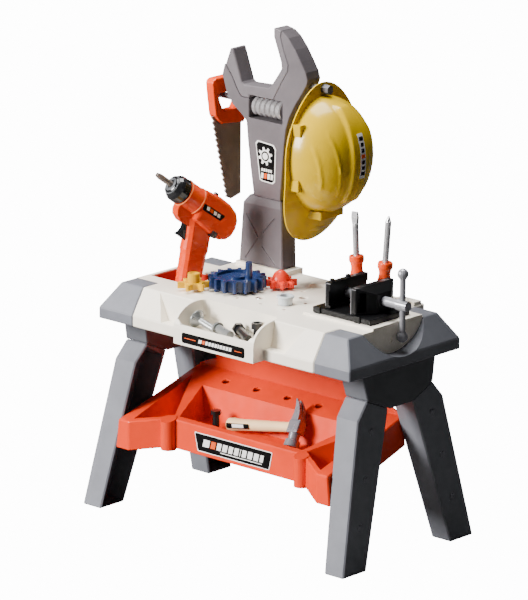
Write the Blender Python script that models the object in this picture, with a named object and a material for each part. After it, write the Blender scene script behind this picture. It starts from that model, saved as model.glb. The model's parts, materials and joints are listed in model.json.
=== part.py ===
"""Toy workbench on two trestles, with a tool wall shaped like a wrench and loose play tools.

Metres, +Z up. +X runs along the bench, the child stands on the -Y side.
"""
import math

import bmesh
import bpy
from mathutils import Matrix, Vector

# Driving dimensions ----------------------------------------------------------
BENCH_LENGTH = 0.600      # over the feet, along X
BENCH_DEPTH = 0.334       # over the feet, along Y
TOP_HEIGHT = 0.395        # floor to work surface
BOARD_HEIGHT = 0.064      # work surface down to the lower edge of the skirt
SKIRT_HEIGHT = 0.0195     # upright band round the table
WALL = 0.003              # moulded wall
SEAT = 0.0003             # gap between two pieces that sit together
RUN = 0.0003              # radial clearance of a piece that turns or slides

# Table -----------------------------------------------------------------------
FOOT_X = BENCH_LENGTH / 2
FOOT_Y = BENCH_DEPTH / 2
SKIRT_X = FOOT_X - 0.0135
SKIRT_Y = FOOT_Y - 0.0265
SLOPE_X = 0.0285          # how far the end slope runs in
SLOPE_Y = 0.027           # how far the front slope runs in
SKIRT_Z = TOP_HEIGHT - BOARD_HEIGHT
SLOPE_Z = SKIRT_Z + SKIRT_HEIGHT
FLAT_X = SKIRT_X - SLOPE_X
FLAT_Y = SKIRT_Y - SLOPE_Y
SEAM_X = SKIRT_X - 0.0795  # where the cream board meets the grey end cap
MOON_HALF = 0.0765        # half width of the half-moon cut in the end cap
MOON_DEPTH = 0.047
DIMPLE_DIA = 0.013           # shallow mark in the face of the half-moon
DIMPLE_Y = -0.0073
DIMPLE_DROP = 0.0244
PAD_RISE = 0.004          # raised pad that the vise stands on
PAD_LEFT = SEAM_X - 0.104
PAD_FRONT = -0.050

# Trestles --------------------------------------------------------------------
FOOT_WIDE_X = 0.0424
FOOT_WIDE_Y = 0.0593
LEG_LEAN = 0.0865         # outward lean of the end face
LEG_INNER_LEAN = 0.108
KNEE_Z = SKIRT_Z - 0.076
KNEE_Y = 0.109
HEAD_TOP_Z = SKIRT_Z + 0.0155
HEAD_MID_Z = SKIRT_Z - 0.046
HEAD_LOW_Z = SKIRT_Z - 0.070
HEAD_TOP_Y = 0.0925
HEAD_MID_Y = 0.083
HEAD_LOW_Y = 0.027
STUD_DIA = 0.015

# Lower tray, a dish tilted up to the back -------------------------------------
TRAY_TILT = math.radians(17.0)
TRAY_Y = -0.107           # where the rim is TRAY_Z high
TRAY_Z = TOP_HEIGHT - 0.225
TRAY_DEEP = 0.049         # rim to underside, square to the rim
TRAY_WALL = 0.0035
CUP_X = 0.153
CUP_DIA = 0.027
TRAY_HOLE_DIA = 0.0145
TRAY_HOLE_PITCH = 0.0716

# Parts bin on the front --------------------------------------------------------
BIN_LEFT = -0.0867
BIN_RIGHT = 0.0951
BIN_FRONT = -(FOOT_Y - 0.001)
BIN_LIP_Z = SKIRT_Z + 0.0275
BIN_BACK = -FLAT_Y + 0.0195
BIN_FLOOR_Z = SKIRT_Z + 0.0210
BIN_RIM_Z = SKIRT_Z + 0.0345   # top of the bin's front wall

# Tool wall ---------------------------------------------------------------------
WALL_FRONT = 0.1105       # front face of the wrench
WALL_THICK = 0.034
WALL_MID = WALL_FRONT + WALL_THICK / 2
PLINTH_RISE = 0.008
WRENCH_Z = TOP_HEIGHT + PLINTH_RISE
PEDESTAL_LEFT = -0.1900
PEDESTAL_RIGHT = -0.0890
WORM_DIA = 0.034
SAW_PEG_DIA = 0.011
SAW_FACE_X = -0.240       # side of the saw that faces the wrench
SAW_THICK = 0.018
HELMET_PEG_DIA = 0.0165
HELMET_RIM_X = -0.014
HELMET_MID_Z = TOP_HEIGHT + 0.225

# Gears ---------------------------------------------------------------------------
GEAR_ANGLE = math.radians(49.0)
BLUE_X = -0.0826
BLUE_Y = -0.0121
BLUE_TEETH = 16
BLUE_TIP = 0.0500
YELLOW_TEETH = 6
ORANGE_TEETH = 8
PINION_TIP = 0.0280
MESH_ROOM = 0.0245          # tip of the blue gear to the axis of a pinion
GEAR_SPACING = BLUE_TIP + MESH_ROOM
GEAR_RISE = 0.0045          # height of the boss under each gear
BOSS_DIA = 0.019
AXLE_DIA = 0.008

# Vise ------------------------------------------------------------------------------
VISE_X = 0.115
VISE_LONG = 0.1285
VISE_FRONT = -0.041
VISE_DEEP = 0.100
VISE_MID_Y = 0.012
VISE_BASE_H = 0.010
JAW_TOP = 0.0555          # pad to jaw tip
JAW_GAP = 0.044           # opening at rest
SCREW_DIA = 0.0165
SCREW_RISE = 0.030
TBAR_X = SKIRT_X - 0.0185
TBAR_DIA = 0.0100
TBAR_HALF = 0.0635          # screw axis to the end of the bar
TBAR_KNOB = 0.0190
SCREW_END_DIA = 0.0200      # barrel that the bar passes through
VISE_PITCH = 0.010        # jaw travel for one turn of the bar

# Drill, drawn along its own barrel axis --------------------------------------------
DRILL_TILT = math.radians(36.5)
DRILL_TURN = math.radians(18.0)
DRILL_X = -0.193
DRILL_Y = -0.012
DRILL_HALF = 0.0215
COLLAR_RADIUS = 0.0240
SPINDLE_DIA = 0.010
BIT_DIA = 0.0105
POCKET_LEFT = -0.250
POCKET_RIGHT = -0.160
POCKET_FRONT = -0.0485
POCKET_BACK = 0.026
POCKET_DEEP = 0.040
HOLSTER_WALL = 0.0025

# Screwdrivers and small parts --------------------------------------------------------
DRIVER_Y = 0.092
FLAT_DRIVER_X = 0.0990
CROSS_DRIVER_X = 0.1545
DRIVER_HOLE_DIA = 0.0305
DRIVER_DIA = 0.0268
CUP_DEEP = 0.021
BUSH_X = 0.041
BUSH_Y = -0.0267
PEG_HOLE_DIA = 0.0156
PILOT_HOLE_DIA = 0.007


# Modelling helpers -------------------------------------------------------------------
def clear_scene():
    """Empty the scene."""
    for item in list(bpy.data.objects):
        bpy.data.objects.remove(item, do_unlink=True)


def plastic(name, color, roughness=0.42, metallic=0.0):
    """A Principled material for one sub-part."""
    made = bpy.data.materials.new(name)
    made.use_nodes = True
    shader = made.node_tree.nodes["Principled BSDF"]
    shader.inputs["Base Color"].default_value = (*color, 1.0)
    shader.inputs["Roughness"].default_value = roughness
    shader.inputs["Metallic"].default_value = metallic
    made.diffuse_color = (*color, 1.0)
    return made


def add(name, shape, material, smooth=35.0):
    """Turn a bmesh into a named object with its own material."""
    bmesh.ops.recalc_face_normals(shape, faces=shape.faces)
    mesh = bpy.data.meshes.new(name)
    shape.to_mesh(mesh)
    shape.free()
    mesh.materials.append(material)
    made = bpy.data.objects.new(name, mesh)
    bpy.context.scene.collection.objects.link(made)
    shade(made, smooth)
    return made


def shade(made, smooth=35.0):
    """Smooth faces with sharp edges kept above the given angle."""
    mesh = made.data
    mesh.polygons.foreach_set("use_smooth", [smooth > 0] * len(mesh.polygons))
    if smooth > 0:
        mesh.set_sharp_from_angle(angle=math.radians(smooth))
    mesh.update()


def combine(made, shape, operation="DIFFERENCE"):
    """Apply an exact boolean of the bmesh to the object."""
    bmesh.ops.recalc_face_normals(shape, faces=shape.faces)
    tool_mesh = bpy.data.meshes.new("tool")
    shape.to_mesh(tool_mesh)
    shape.free()
    tool = bpy.data.objects.new("tool", tool_mesh)
    bpy.context.scene.collection.objects.link(tool)
    step = made.modifiers.new("combine", "BOOLEAN")
    step.operation = operation
    step.solver = "EXACT"
    step.object = tool
    graph = bpy.context.evaluated_depsgraph_get()
    mesh = bpy.data.meshes.new_from_object(made.evaluated_get(graph))
    made.modifiers.clear()
    clean = bmesh.new()
    clean.from_mesh(mesh)
    bmesh.ops.remove_doubles(clean, verts=clean.verts, dist=0.000002)
    bmesh.ops.dissolve_degenerate(clean, dist=0.000002, edges=clean.edges)
    clean.to_mesh(mesh)
    clean.free()
    old = made.data
    made.data = mesh
    mesh.name = old.name
    bpy.data.meshes.remove(old)
    bpy.data.objects.remove(tool, do_unlink=True)
    bpy.data.meshes.remove(tool_mesh)
    shade(made)
    return made


def prism(points, axis, low, high):
    """A straight prism of an outline given in the two other axes, in x-y-z order."""
    spare = {"x": 0, "y": 1, "z": 2}[axis]
    shape = bmesh.new()
    corners = []
    for pair in points:
        place = list(pair)
        place.insert(spare, low)
        corners.append(shape.verts.new(place))
    face = shape.faces.new(corners)
    grown = bmesh.ops.extrude_face_region(shape, geom=[face])
    moved = [item for item in grown["geom"] if isinstance(item, bmesh.types.BMVert)]
    shift = [0.0, 0.0, 0.0]
    shift[spare] = high - low
    bmesh.ops.translate(shape, verts=moved, vec=shift)
    bmesh.ops.recalc_face_normals(shape, faces=shape.faces)
    return shape


def box(low, high):
    """A box between two corners."""
    outline = [(low[0], low[1]), (high[0], low[1]), (high[0], high[1]), (low[0], high[1])]
    return prism(outline, "z", low[2], high[2])


def lathe(profile, steps=24, spin=0.0):
    """A full spin about Z of (radius, height) points that start and end on the axis."""
    shape = bmesh.new()
    rings = []
    for radius, height in profile:
        if radius < 1e-6:
            rings.append([shape.verts.new((0, 0, height))])
            continue
        ring = []
        for index in range(steps):
            turn = 2 * math.pi * (index + spin) / steps
            ring.append(shape.verts.new((radius * math.cos(turn), radius * math.sin(turn), height)))
        rings.append(ring)
    for first, second in zip(rings, rings[1:]):
        for index in range(steps):
            after = (index + 1) % steps
            if len(first) == 1:
                shape.faces.new((first[0], second[index], second[after]))
            elif len(second) == 1:
                shape.faces.new((first[index], second[0], first[after]))
            else:
                shape.faces.new((first[index], second[index], second[after], first[after]))
    bmesh.ops.recalc_face_normals(shape, faces=shape.faces)
    return shape


def rod(start, end, radius, steps=20, tip=None, spin=0.0):
    """A round bar from start to end, with an optional other radius at its end."""
    start = Vector(start)
    end = Vector(end)
    tip = radius if tip is None else tip
    long = (end - start).length
    shape = lathe([(0, 0), (radius, 0), (tip, long), (0, long)], steps, spin)
    turn = Vector((0, 0, 1)).rotation_difference(end - start).to_matrix().to_4x4()
    bmesh.ops.transform(shape, matrix=Matrix.Translation(start) @ turn, verts=shape.verts)
    return shape


def loft(rings):
    """A closed body through rings of equal length, capped at both ends."""
    shape = bmesh.new()
    rows = [[shape.verts.new(place) for place in ring] for ring in rings]
    count = len(rows[0])
    for first, second in zip(rows, rows[1:]):
        for index in range(count):
            after = (index + 1) % count
            shape.faces.new((first[index], first[after], second[after], second[index]))
    shape.faces.new(list(reversed(rows[0])))
    shape.faces.new(rows[-1])
    bmesh.ops.recalc_face_normals(shape, faces=shape.faces)
    return shape


def pillow(outline, half, rounding, inset=0.0):
    """A body across Y with rounded rims, from a convex (x, z) outline."""
    rings = []
    for side in (-1, 1):
        levels = [(1.0, 0.0), (0.5, 0.134), (0.134, 0.5), (0.0, 1.0)]
        for shrink, along in levels if side < 0 else reversed(levels):
            y = side * (half - rounding * along)
            rings.append([(x, y, z) for x, z in shrunk(outline, inset + rounding * shrink)])
    return loft(rings)


def shrunk(outline, inset):
    """A convex outline moved inwards by a distance."""
    center = sum((Vector(point) for point in outline), Vector((0, 0))) / len(outline)
    moved = []
    for index, point in enumerate(outline):
        here = Vector(point)
        before = (here - Vector(outline[index - 1])).normalized()
        after = (Vector(outline[(index + 1) % len(outline)]) - here).normalized()
        inward = (after - before).normalized()
        if inward.length < 0.5 or inward.dot(center - here) < 0:
            inward = (center - here).normalized()
        reach = inset / max(0.35, abs(before.x * inward.y - before.y * inward.x))
        moved.append(tuple(here + inward * reach))
    return moved


def arc(center, radius_a, radius_b, start, end, steps):
    """Points of an elliptic arc in degrees, both ends included."""
    points = []
    for index in range(steps + 1):
        turn = math.radians(start + (end - start) * index / steps)
        points.append((center[0] + radius_a * math.cos(turn), center[1] + radius_b * math.sin(turn)))
    return points


def soften(made, width, segments=1, angle=30.0):
    """Bevel the edges that are sharper than the given angle."""
    shape = bmesh.new()
    shape.from_mesh(made.data)
    sharp = [edge for edge in shape.edges
             if len(edge.link_faces) == 2 and edge.calc_face_angle(0.0) > math.radians(angle)]
    bmesh.ops.bevel(shape, geom=sharp, offset=width, segments=segments, profile=0.5,
                    affect="EDGES", material=-1, clamp_overlap=True)
    shape.to_mesh(made.data)
    shape.free()
    shade(made)
    return made


def pivot(made, place):
    """Put the object's origin on its joint axis without moving the piece."""
    made.data.transform(Matrix.Translation(-Vector(place)))
    made.location = place
    return made


def mirror_x(shape):
    """Mirror a bmesh across the middle of the bench."""
    bmesh.ops.scale(shape, vec=(-1, 1, 1), verts=shape.verts)
    bmesh.ops.recalc_face_normals(shape, faces=shape.faces)
    return shape


# Trestles --------------------------------------------------------------------------------
def end_x(height):
    """Outer face of a trestle at a height."""
    return FOOT_X - LEG_LEAN * height


def inner_x(height):
    """Inner face of a trestle at a height."""
    return FOOT_X - FOOT_WIDE_X - LEG_INNER_LEAN * height


def leaning_prism(outline, inset_in=0.0, inset_out=0.0):
    """A prism of (y, z) points between the two leaning faces of a trestle."""
    inner = [(inner_x(z) + inset_in, y, z) for y, z in outline]
    outer = [(end_x(z) - inset_out, y, z) for y, z in outline]
    return loft([inner, outer])


def make_leg(name, side, front, material):
    """One hollow leg, open to the inside, with three moulded studs on its end face."""
    outline = [(front * FOOT_Y, 0.0), (front * KNEE_Y, KNEE_Z),
               (front * (HEAD_MID_Y + SEAT), HEAD_MID_Z - SEAT),
               (front * (HEAD_LOW_Y + 0.004), HEAD_LOW_Z + 0.002 - SEAT),
               (front * (FOOT_Y - FOOT_WIDE_Y), 0.0)]
    shape = leaning_prism(outline)
    if side < 0:
        mirror_x(shape)
    leg = add(name, shape, material)
    soften(leg, 0.0022)
    hollow = [(front * (FOOT_Y - WALL - 0.0012), WALL), (front * (KNEE_Y - WALL), KNEE_Z - 0.002),
              (front * (HEAD_MID_Y - 0.002), HEAD_MID_Z - 0.006), (front * leg_back(KNEE_Z, WALL + 0.004),
                                                                   KNEE_Z),
              (front * (FOOT_Y - FOOT_WIDE_Y + WALL), WALL)]
    cut = leaning_prism(hollow, inset_in=-0.004, inset_out=WALL)
    if side < 0:
        mirror_x(cut)
    combine(leg, cut)
    for height in (KNEE_Z - 0.0235, KNEE_Z / 2 + 0.027, KNEE_Z * 0.3):
        middle = front * (leg_front(height) + leg_back(height)) / 2
        face = side * end_x(height)
        dome = rod((face - side * 0.002, middle, height), (face + side * 0.002, middle, height),
                   STUD_DIA / 2, 14, STUD_DIA * 0.33)
        combine(leg, dome, "UNION")
    return leg


def leg_front(height, inset=0.0):
    """Outer Y of a leg at a height below its knee."""
    return FOOT_Y + (KNEE_Y - FOOT_Y) * height / KNEE_Z + inset


def leg_back(height, inset=0.0):
    """Inner Y of a leg at a height."""
    foot = FOOT_Y - FOOT_WIDE_Y
    return foot + (HEAD_LOW_Y + 0.004 - foot) * height / (HEAD_LOW_Z + 0.002) + inset


def make_trestle_head(name, side, material):
    """The block under the cap that both legs of one end plug into."""
    outline = [(-HEAD_LOW_Y, HEAD_LOW_Z), (HEAD_LOW_Y, HEAD_LOW_Z), (HEAD_MID_Y, HEAD_MID_Z),
               (HEAD_TOP_Y, SKIRT_Z - 0.006), (HEAD_TOP_Y, HEAD_TOP_Z),
               (-HEAD_TOP_Y, HEAD_TOP_Z), (-HEAD_TOP_Y, SKIRT_Z - 0.006), (-HEAD_MID_Y, HEAD_MID_Z)]
    shape = leaning_prism(outline, inset_out=-0.0015)
    if side < 0:
        mirror_x(shape)
    head = add(name, shape, material)
    soften(head, 0.0015)
    low = inner_x(HEAD_LOW_Z) + WALL + 0.002
    high = end_x(HEAD_TOP_Z) - WALL
    cut = box((low, -HEAD_TOP_Y + 0.004, HEAD_MID_Z), (high, HEAD_TOP_Y - 0.004, HEAD_TOP_Z + 0.01))
    bmesh.ops.scale(cut, vec=(1, 0.88, 1), verts=[v for v in cut.verts if v.co.z < HEAD_TOP_Z])
    if side < 0:
        mirror_x(cut)
    combine(head, cut)
    return head


# Table ---------------------------------------------------------------------------------------
def moon(half, depth, level, top, steps=14):
    """Outline (y, z) of the half-moon at the end of the board, its chord at the given level."""
    radius = (half * half + depth * depth) / (2 * depth)
    sweep = math.degrees(math.asin(half / radius))
    outline = arc((0.0, level - depth + radius), radius, radius, -90 - sweep, -90 + sweep, steps)
    if top > level:
        outline += [(half, top), (-half, top)]
    return outline


def make_end_cap(name, side, material):
    """Grey cap over one end of the board, cut open round the half-moon."""
    def frustum(inset, low, cut_in):
        seam = SEAM_X + SEAT / 2 - cut_in
        rows = []
        for reach_x, reach_y, height in ((SKIRT_X, SKIRT_Y, low), (SKIRT_X, SKIRT_Y, SLOPE_Z - inset * 0.3),
                                         (FLAT_X, FLAT_Y, TOP_HEIGHT - inset)):
            rows.append([(seam, -reach_y + inset, height), (reach_x - inset, -reach_y + inset, height),
                         (reach_x - inset, reach_y - inset, height), (seam, reach_y - inset, height)])
        return loft(rows)
    shape = frustum(0.0, SKIRT_Z, 0.0)
    if side < 0:
        mirror_x(shape)
    cap = add(name, shape, material)
    soften(cap, 0.0018)
    # hollow, less the wall that closes it round the half-moon
    inside = add("inside", frustum(WALL, SKIRT_Z - 0.01, 0.01), material)
    wall = moon(MOON_HALF + WALL, MOON_DEPTH + 4 * SEAT, TOP_HEIGHT, TOP_HEIGHT)
    combine(inside, prism(wall, "x", FLAT_X + SEAT, SKIRT_X + 0.01))
    hollow = bmesh.new()
    hollow.from_mesh(inside.data)
    bpy.data.objects.remove(inside, do_unlink=True)
    if side < 0:
        mirror_x(hollow)
    combine(cap, hollow)
    slot = prism(moon(MOON_HALF + SEAT, MOON_DEPTH + SEAT, TOP_HEIGHT, TOP_HEIGHT + 0.01), "x",
                 SEAM_X - 0.01, SKIRT_X + 0.01)
    if side < 0:
        mirror_x(slot)
    combine(cap, slot)
    return cap


def bin_side():
    """Outline (y, z) of the bin's side wall, a quarter ellipse from the top to the lip."""
    reach = -FLAT_Y - BIN_FRONT
    curve = arc((-FLAT_Y, BIN_LIP_Z), reach, TOP_HEIGHT - BIN_LIP_Z, 180, 90, 8)
    back = BIN_BACK + 0.0035
    return [(back, SKIRT_Z), (BIN_FRONT, SKIRT_Z)] + curve + [(back, TOP_HEIGHT)]


def bin_ring(x, inset):
    """Section of the bin's hollow, its back moved forward near the ends for round corners."""
    back = BIN_BACK - inset
    section = [(BIN_FRONT + 0.0045, TOP_HEIGHT + 0.02), (BIN_FRONT + 0.0045, BIN_FLOOR_Z + 0.008),
               (BIN_FRONT + 0.0115, BIN_FLOOR_Z), (back - 0.0045, BIN_FLOOR_Z),
               (back - 0.0015, BIN_FLOOR_Z + 0.0025),
               (back, BIN_FLOOR_Z + 0.010), (back, TOP_HEIGHT + 0.02)]
    return [(x, y, z) for y, z in section]


def make_top_board(material):
    """Cream table top: flat surface, front slope with a stepped bay, bin, pads and holes."""
    half = SEAM_X - SEAT / 2
    outer = [(-SKIRT_Y, SKIRT_Z), (-SKIRT_Y, SLOPE_Z), (-FLAT_Y, TOP_HEIGHT), (SKIRT_Y, TOP_HEIGHT),
             (SKIRT_Y, SKIRT_Z)]
    board = add("top_board", prism(outer, "x", -half, half), material)
    soften(board, 0.0018)
    # bay: the slope steps back to an upright face with a ledge over the skirt
    bay_low = 0.140
    bay_high = 0.168
    bay = loft([[(-bay_low, -FLAT_Y - 0.0075, SLOPE_Z), (bay_low, -FLAT_Y - 0.0075, SLOPE_Z),
                 (bay_low, -SKIRT_Y - 0.01, SLOPE_Z), (-bay_low, -SKIRT_Y - 0.01, SLOPE_Z)],
                [(-bay_high, -FLAT_Y - 0.0004, TOP_HEIGHT + 0.001),
                 (bay_high, -FLAT_Y - 0.0004, TOP_HEIGHT + 0.001),
                 (bay_high, -SKIRT_Y - 0.01, TOP_HEIGHT + 0.001), (-bay_high, -SKIRT_Y - 0.01,
                                                                   TOP_HEIGHT + 0.001)]])
    combine(board, bay)
    # underside, in three hollows so the walls stay behind the slope
    middle = box((-half + WALL, -FLAT_Y + WALL, SKIRT_Z - 0.01), (half - WALL, SKIRT_Y - WALL,
                                                                  TOP_HEIGHT - WALL))
    combine(board, middle)
    ledge = box((-half + WALL, -SKIRT_Y + WALL, SKIRT_Z - 0.01), (half - WALL, -FLAT_Y + WALL + 0.001,
                                                                  SLOPE_Z - WALL))
    combine(board, ledge)
    # tongues that run out to the half-moons
    for side in (-1, 1):
        low, high = sorted((side * (half - WALL - 0.001), side * (FLAT_X - 0.0005)))
        tongue = prism(moon(MOON_HALF, MOON_DEPTH, TOP_HEIGHT, TOP_HEIGHT), "x", low, high)
        combine(board, tongue, "UNION")
        low, high = sorted((side * (half - WALL - 0.002), side * (FLAT_X - 0.0005 - WALL)))
        ceiling = TOP_HEIGHT - WALL - SEAT
        core = prism(moon(MOON_HALF - 2 * WALL, MOON_DEPTH - 2 * WALL, ceiling, ceiling), "x", low, high)
        combine(board, core)
        dimple_x = side * (FLAT_X - 0.0005)
        combine(board, rod((dimple_x - side * 0.0016, DIMPLE_Y, TOP_HEIGHT - DIMPLE_DROP),
                           (dimple_x + side * 0.01, DIMPLE_Y, TOP_HEIGHT - DIMPLE_DROP), DIMPLE_DIA / 2,
                           20))
    # raised pad for the vise
    pad = box((PAD_LEFT, PAD_FRONT, TOP_HEIGHT - 0.001), (FLAT_X - 0.0005, MOON_HALF - 0.002,
                                                          TOP_HEIGHT + PAD_RISE))
    combine(board, pad, "UNION")
    # plinth for the tool wall and the low stop at the back right
    plinth = box((PEDESTAL_LEFT - 0.003, WALL_FRONT - 0.006, TOP_HEIGHT - 0.001),
                 (PEDESTAL_RIGHT + 0.013, WALL_FRONT + WALL_THICK + 0.003, WRENCH_Z - SEAT))
    combine(board, plinth, "UNION")
    back_rail = box((PEDESTAL_LEFT - 0.003, SKIRT_Y - WALL, SKIRT_Z),
                    (PEDESTAL_RIGHT + 0.013, WALL_FRONT + WALL_THICK + 0.003, TOP_HEIGHT))
    combine(board, back_rail, "UNION")
    stop = box((half - 0.046, FLAT_Y + 0.002, TOP_HEIGHT - 0.001),
               (half - 0.002, FLAT_Y + 0.020, TOP_HEIGHT + 0.006))
    combine(board, stop, "UNION")
    # parts bin
    combine(board, prism(bin_side(), "x", BIN_LEFT, BIN_RIGHT), "UNION")
    rings = []
    for along, inset in ((0.0, 0.012), (0.0016, 0.006), (0.006, 0.0016), (0.012, 0.0)):
        rings.append(bin_ring(BIN_LEFT + 0.0045 + along, inset))
    for along, inset in ((0.012, 0.0), (0.006, 0.0016), (0.0016, 0.006), (0.0, 0.012)):
        rings.append(bin_ring(BIN_RIGHT - 0.0045 - along, inset))
    hollow = loft(rings)
    combine(board, hollow)
    rim = [(BIN_LEFT + 0.0040, TOP_HEIGHT), (BIN_LEFT + 0.0075, BIN_RIM_Z + 0.008),
           (BIN_LEFT + 0.0155, BIN_RIM_Z),
           (BIN_RIGHT - 0.0155, BIN_RIM_Z), (BIN_RIGHT - 0.0075, BIN_RIM_Z + 0.008),
           (BIN_RIGHT - 0.0040, TOP_HEIGHT)]
    combine(board, prism(rim, "y", BIN_FRONT - 0.01, BIN_FRONT + 0.0062))
    below = box((BIN_LEFT + WALL, BIN_FRONT + WALL, SKIRT_Z - 0.01),
                (BIN_RIGHT - WALL, BIN_BACK + 0.004, BIN_FLOOR_Z - WALL))
    combine(board, below)
    # holes: pilot holes on a square grid, peg holes between them, driver holes, drill pocket
    pitch = 0.053
    holes = []
    for column in range(3):
        for row in range(3):
            if (column, row) != (0, 2) and (column, row) != (0, 1):
                holes.append((-0.044 + pitch * column, -0.0525 + pitch * row, PILOT_HOLE_DIA))
    holes += [(-0.0175, -0.0263, PEG_HOLE_DIA), (0.0357, 0.0243, PEG_HOLE_DIA),
              (BUSH_X, BUSH_Y, PEG_HOLE_DIA)]
    holes += [(0.003, DRIVER_Y + 0.006, DRIVER_HOLE_DIA), (FLAT_DRIVER_X, DRIVER_Y, DRIVER_HOLE_DIA),
              (CROSS_DRIVER_X, DRIVER_Y, DRIVER_HOLE_DIA)]
    for x, y in gear_places():
        holes.append((x, y, AXLE_DIA + 2 * SEAT))
    for x, y, size in holes:
        if size == DRIVER_HOLE_DIA:
            cup = rod((x, y, TOP_HEIGHT - CUP_DEEP - WALL), (x, y, TOP_HEIGHT - WALL / 2),
                      size / 2 + 0.0025, 20)
            combine(board, cup, "UNION")
    for x, y, size in holes:
        depth = CUP_DEEP if size == DRIVER_HOLE_DIA else 0.02
        combine(board, rod((x, y, TOP_HEIGHT - depth), (x, y, TOP_HEIGHT + 0.02), size / 2, 20))
    combine(board, box((POCKET_LEFT, POCKET_FRONT, TOP_HEIGHT - 0.02),
                       (POCKET_RIGHT, POCKET_BACK, TOP_HEIGHT + 0.01)))
    # clearance under the pocket's liner where it crosses the end wall and the tongue
    combine(board, box((POCKET_LEFT - HOLSTER_WALL, POCKET_FRONT - HOLSTER_WALL, SKIRT_Z - 0.01),
                       (POCKET_RIGHT + HOLSTER_WALL, POCKET_BACK + HOLSTER_WALL, TOP_HEIGHT - WALL + SEAT)))
    return board


def gear_places():
    """Centres of the blue, yellow and orange gears."""
    step_x = GEAR_SPACING * math.cos(GEAR_ANGLE)
    step_y = GEAR_SPACING * math.sin(GEAR_ANGLE)
    return [(BLUE_X, BLUE_Y), (BLUE_X - step_x, BLUE_Y - step_y), (BLUE_X + step_x, BLUE_Y + step_y)]


def make_holster(material):
    """Open orange liner under the pocket for the drill grip."""
    top = TOP_HEIGHT - WALL
    low = TOP_HEIGHT - POCKET_DEEP
    grow = HOLSTER_WALL - SEAT
    shell = add("drill_holster", box((POCKET_LEFT - grow, POCKET_FRONT - grow, low - grow),
                                     (POCKET_RIGHT + grow, POCKET_BACK + grow, top)), material)
    combine(shell, box((POCKET_LEFT, POCKET_FRONT, low), (POCKET_RIGHT, POCKET_BACK, top + 0.01)))
    return shell


# Lower tray --------------------------------------------------------------------------------
def rim_z(y, drop=0.0):
    """Height of the tray's tilted rim plane at Y, less a vertical drop."""
    return TRAY_Z + (y - TRAY_Y) * math.tan(TRAY_TILT) - drop


def tray_level(outline, drop):
    """Place an (x, y) outline on the rim plane, lowered by a vertical drop."""
    return [(x, y, rim_z(y, drop)) for x, y in outline]


def tray_end(y, drop=0.0):
    """Half length of the tray where it meets the legs."""
    return inner_x(rim_z(y, drop)) - 2 * SEAT


def both_sides(points):
    """Add the mirror image of a right-hand outline, keeping it one loop."""
    return points + [(-x, y) for x, y in reversed(points)]


def make_tray(material):
    """Orange tool tray between the trestles: deep middle, two corner dishes, cups, peg ledge."""
    deep = TRAY_DEEP + 0.003
    front = -FOOT_Y + 0.026
    panel = TRAY_Y + 0.0034
    back = TRAY_Y + 0.1665
    rows = []
    for drop in (deep, 0.0):
        right = [(tray_end(back, drop), back), (tray_end(front, drop), front),
                 (tray_end(front) - 0.024, front),
                 (CUP_X + 0.012, TRAY_Y - 0.004), (CUP_X - 0.010, panel)]
        rows.append(tray_level(both_sides(right), drop))
    tray = add("lower_tray", loft(rows), material)
    soften(tray, 0.0018)
    for side in (-1, 1):
        cup = rod((side * CUP_X, TRAY_Y, TRAY_Z - deep - 0.0012), (side * CUP_X, TRAY_Y, TRAY_Z + 0.02),
                  CUP_DIA / 2, 24)
        trim_above_rim(cup, 0.0012)
        combine(tray, cup, "UNION")
    # deep middle
    floor = deep - TRAY_WALL
    top = [(-0.141, TRAY_Y + 0.0145), (0.141, TRAY_Y + 0.0145), (0.175, TRAY_Y + 0.1086),
           (-0.175, TRAY_Y + 0.1086)]
    low = [(-0.136, TRAY_Y + 0.0190), (0.136, TRAY_Y + 0.0190), (0.160, TRAY_Y + 0.0960),
           (-0.160, TRAY_Y + 0.0960)]
    over = [(x, y, z + 0.01) for x, y, z in tray_level(top, 0.0)]
    combine(tray, loft([tray_level(low, floor), tray_level(top, 0.0), over]))
    # corner dishes
    for side in (-1, 1):
        dish = [(0.151, TRAY_Y + 0.0134), (0.214, TRAY_Y - 0.0216), (0.218, TRAY_Y + 0.1282)]
        sunk = [(0.163, TRAY_Y + 0.0150), (0.209, TRAY_Y - 0.0110), (0.212, TRAY_Y + 0.1080)]
        dish = [(side * x, y) for x, y in dish]
        sunk = [(side * x, y) for x, y in sunk]
        over = [(x, y, z + 0.01) for x, y, z in tray_level(dish, 0.0)]
        combine(tray, loft([tray_level(sunk, floor), tray_level(dish, 0.0), over]))
    # thin ledge at the back with its row of holes
    under = [(-0.150, TRAY_Y + 0.1140), (0.150, TRAY_Y + 0.1140), (0.190, back - TRAY_WALL),
             (-0.190, back - TRAY_WALL)]
    below = [(x, y, z - 0.01) for x, y, z in tray_level(under, deep)]
    combine(tray, loft([below, tray_level(under, TRAY_WALL)]))
    ledge_y = TRAY_Y + 0.1335
    for index in range(5):
        x = (index - 2) * TRAY_HOLE_PITCH
        height = rim_z(ledge_y)
        combine(tray, rod((x, ledge_y, height - 0.01), (x, ledge_y, height + 0.01), TRAY_HOLE_DIA / 2, 16))
    # raised back wall with an arched top
    foot = rim_z(back) - 0.004
    end = tray_end(back) - 2 * SEAT
    right = [(end, foot), (end, foot + 0.0045), (end - 0.044, foot + 0.0220), (end - 0.056, foot + 0.0258),
             (end - 0.084, foot + 0.0290), (end - 0.150, foot + 0.0330)]
    outline = [(-x, z) for x, z in right[::-1]] + right
    combine(tray, prism(outline, "y", back - TRAY_WALL, back - 0.0004), "UNION")
    # lugs that reach into the hollow legs
    lug_y = -(leg_front(TRAY_Z - 0.02) + leg_back(TRAY_Z - 0.02)) / 2
    for side in (-1, 1):
        reach = side * (inner_x(TRAY_Z - 0.03) + 0.008)
        low, high = sorted((side * (tray_end(lug_y) - 0.004), reach))
        combine(tray, box((low, lug_y - 0.009, TRAY_Z - 0.036), (high, lug_y + 0.009, TRAY_Z - 0.024)),
                "UNION")
    return tray


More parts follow.
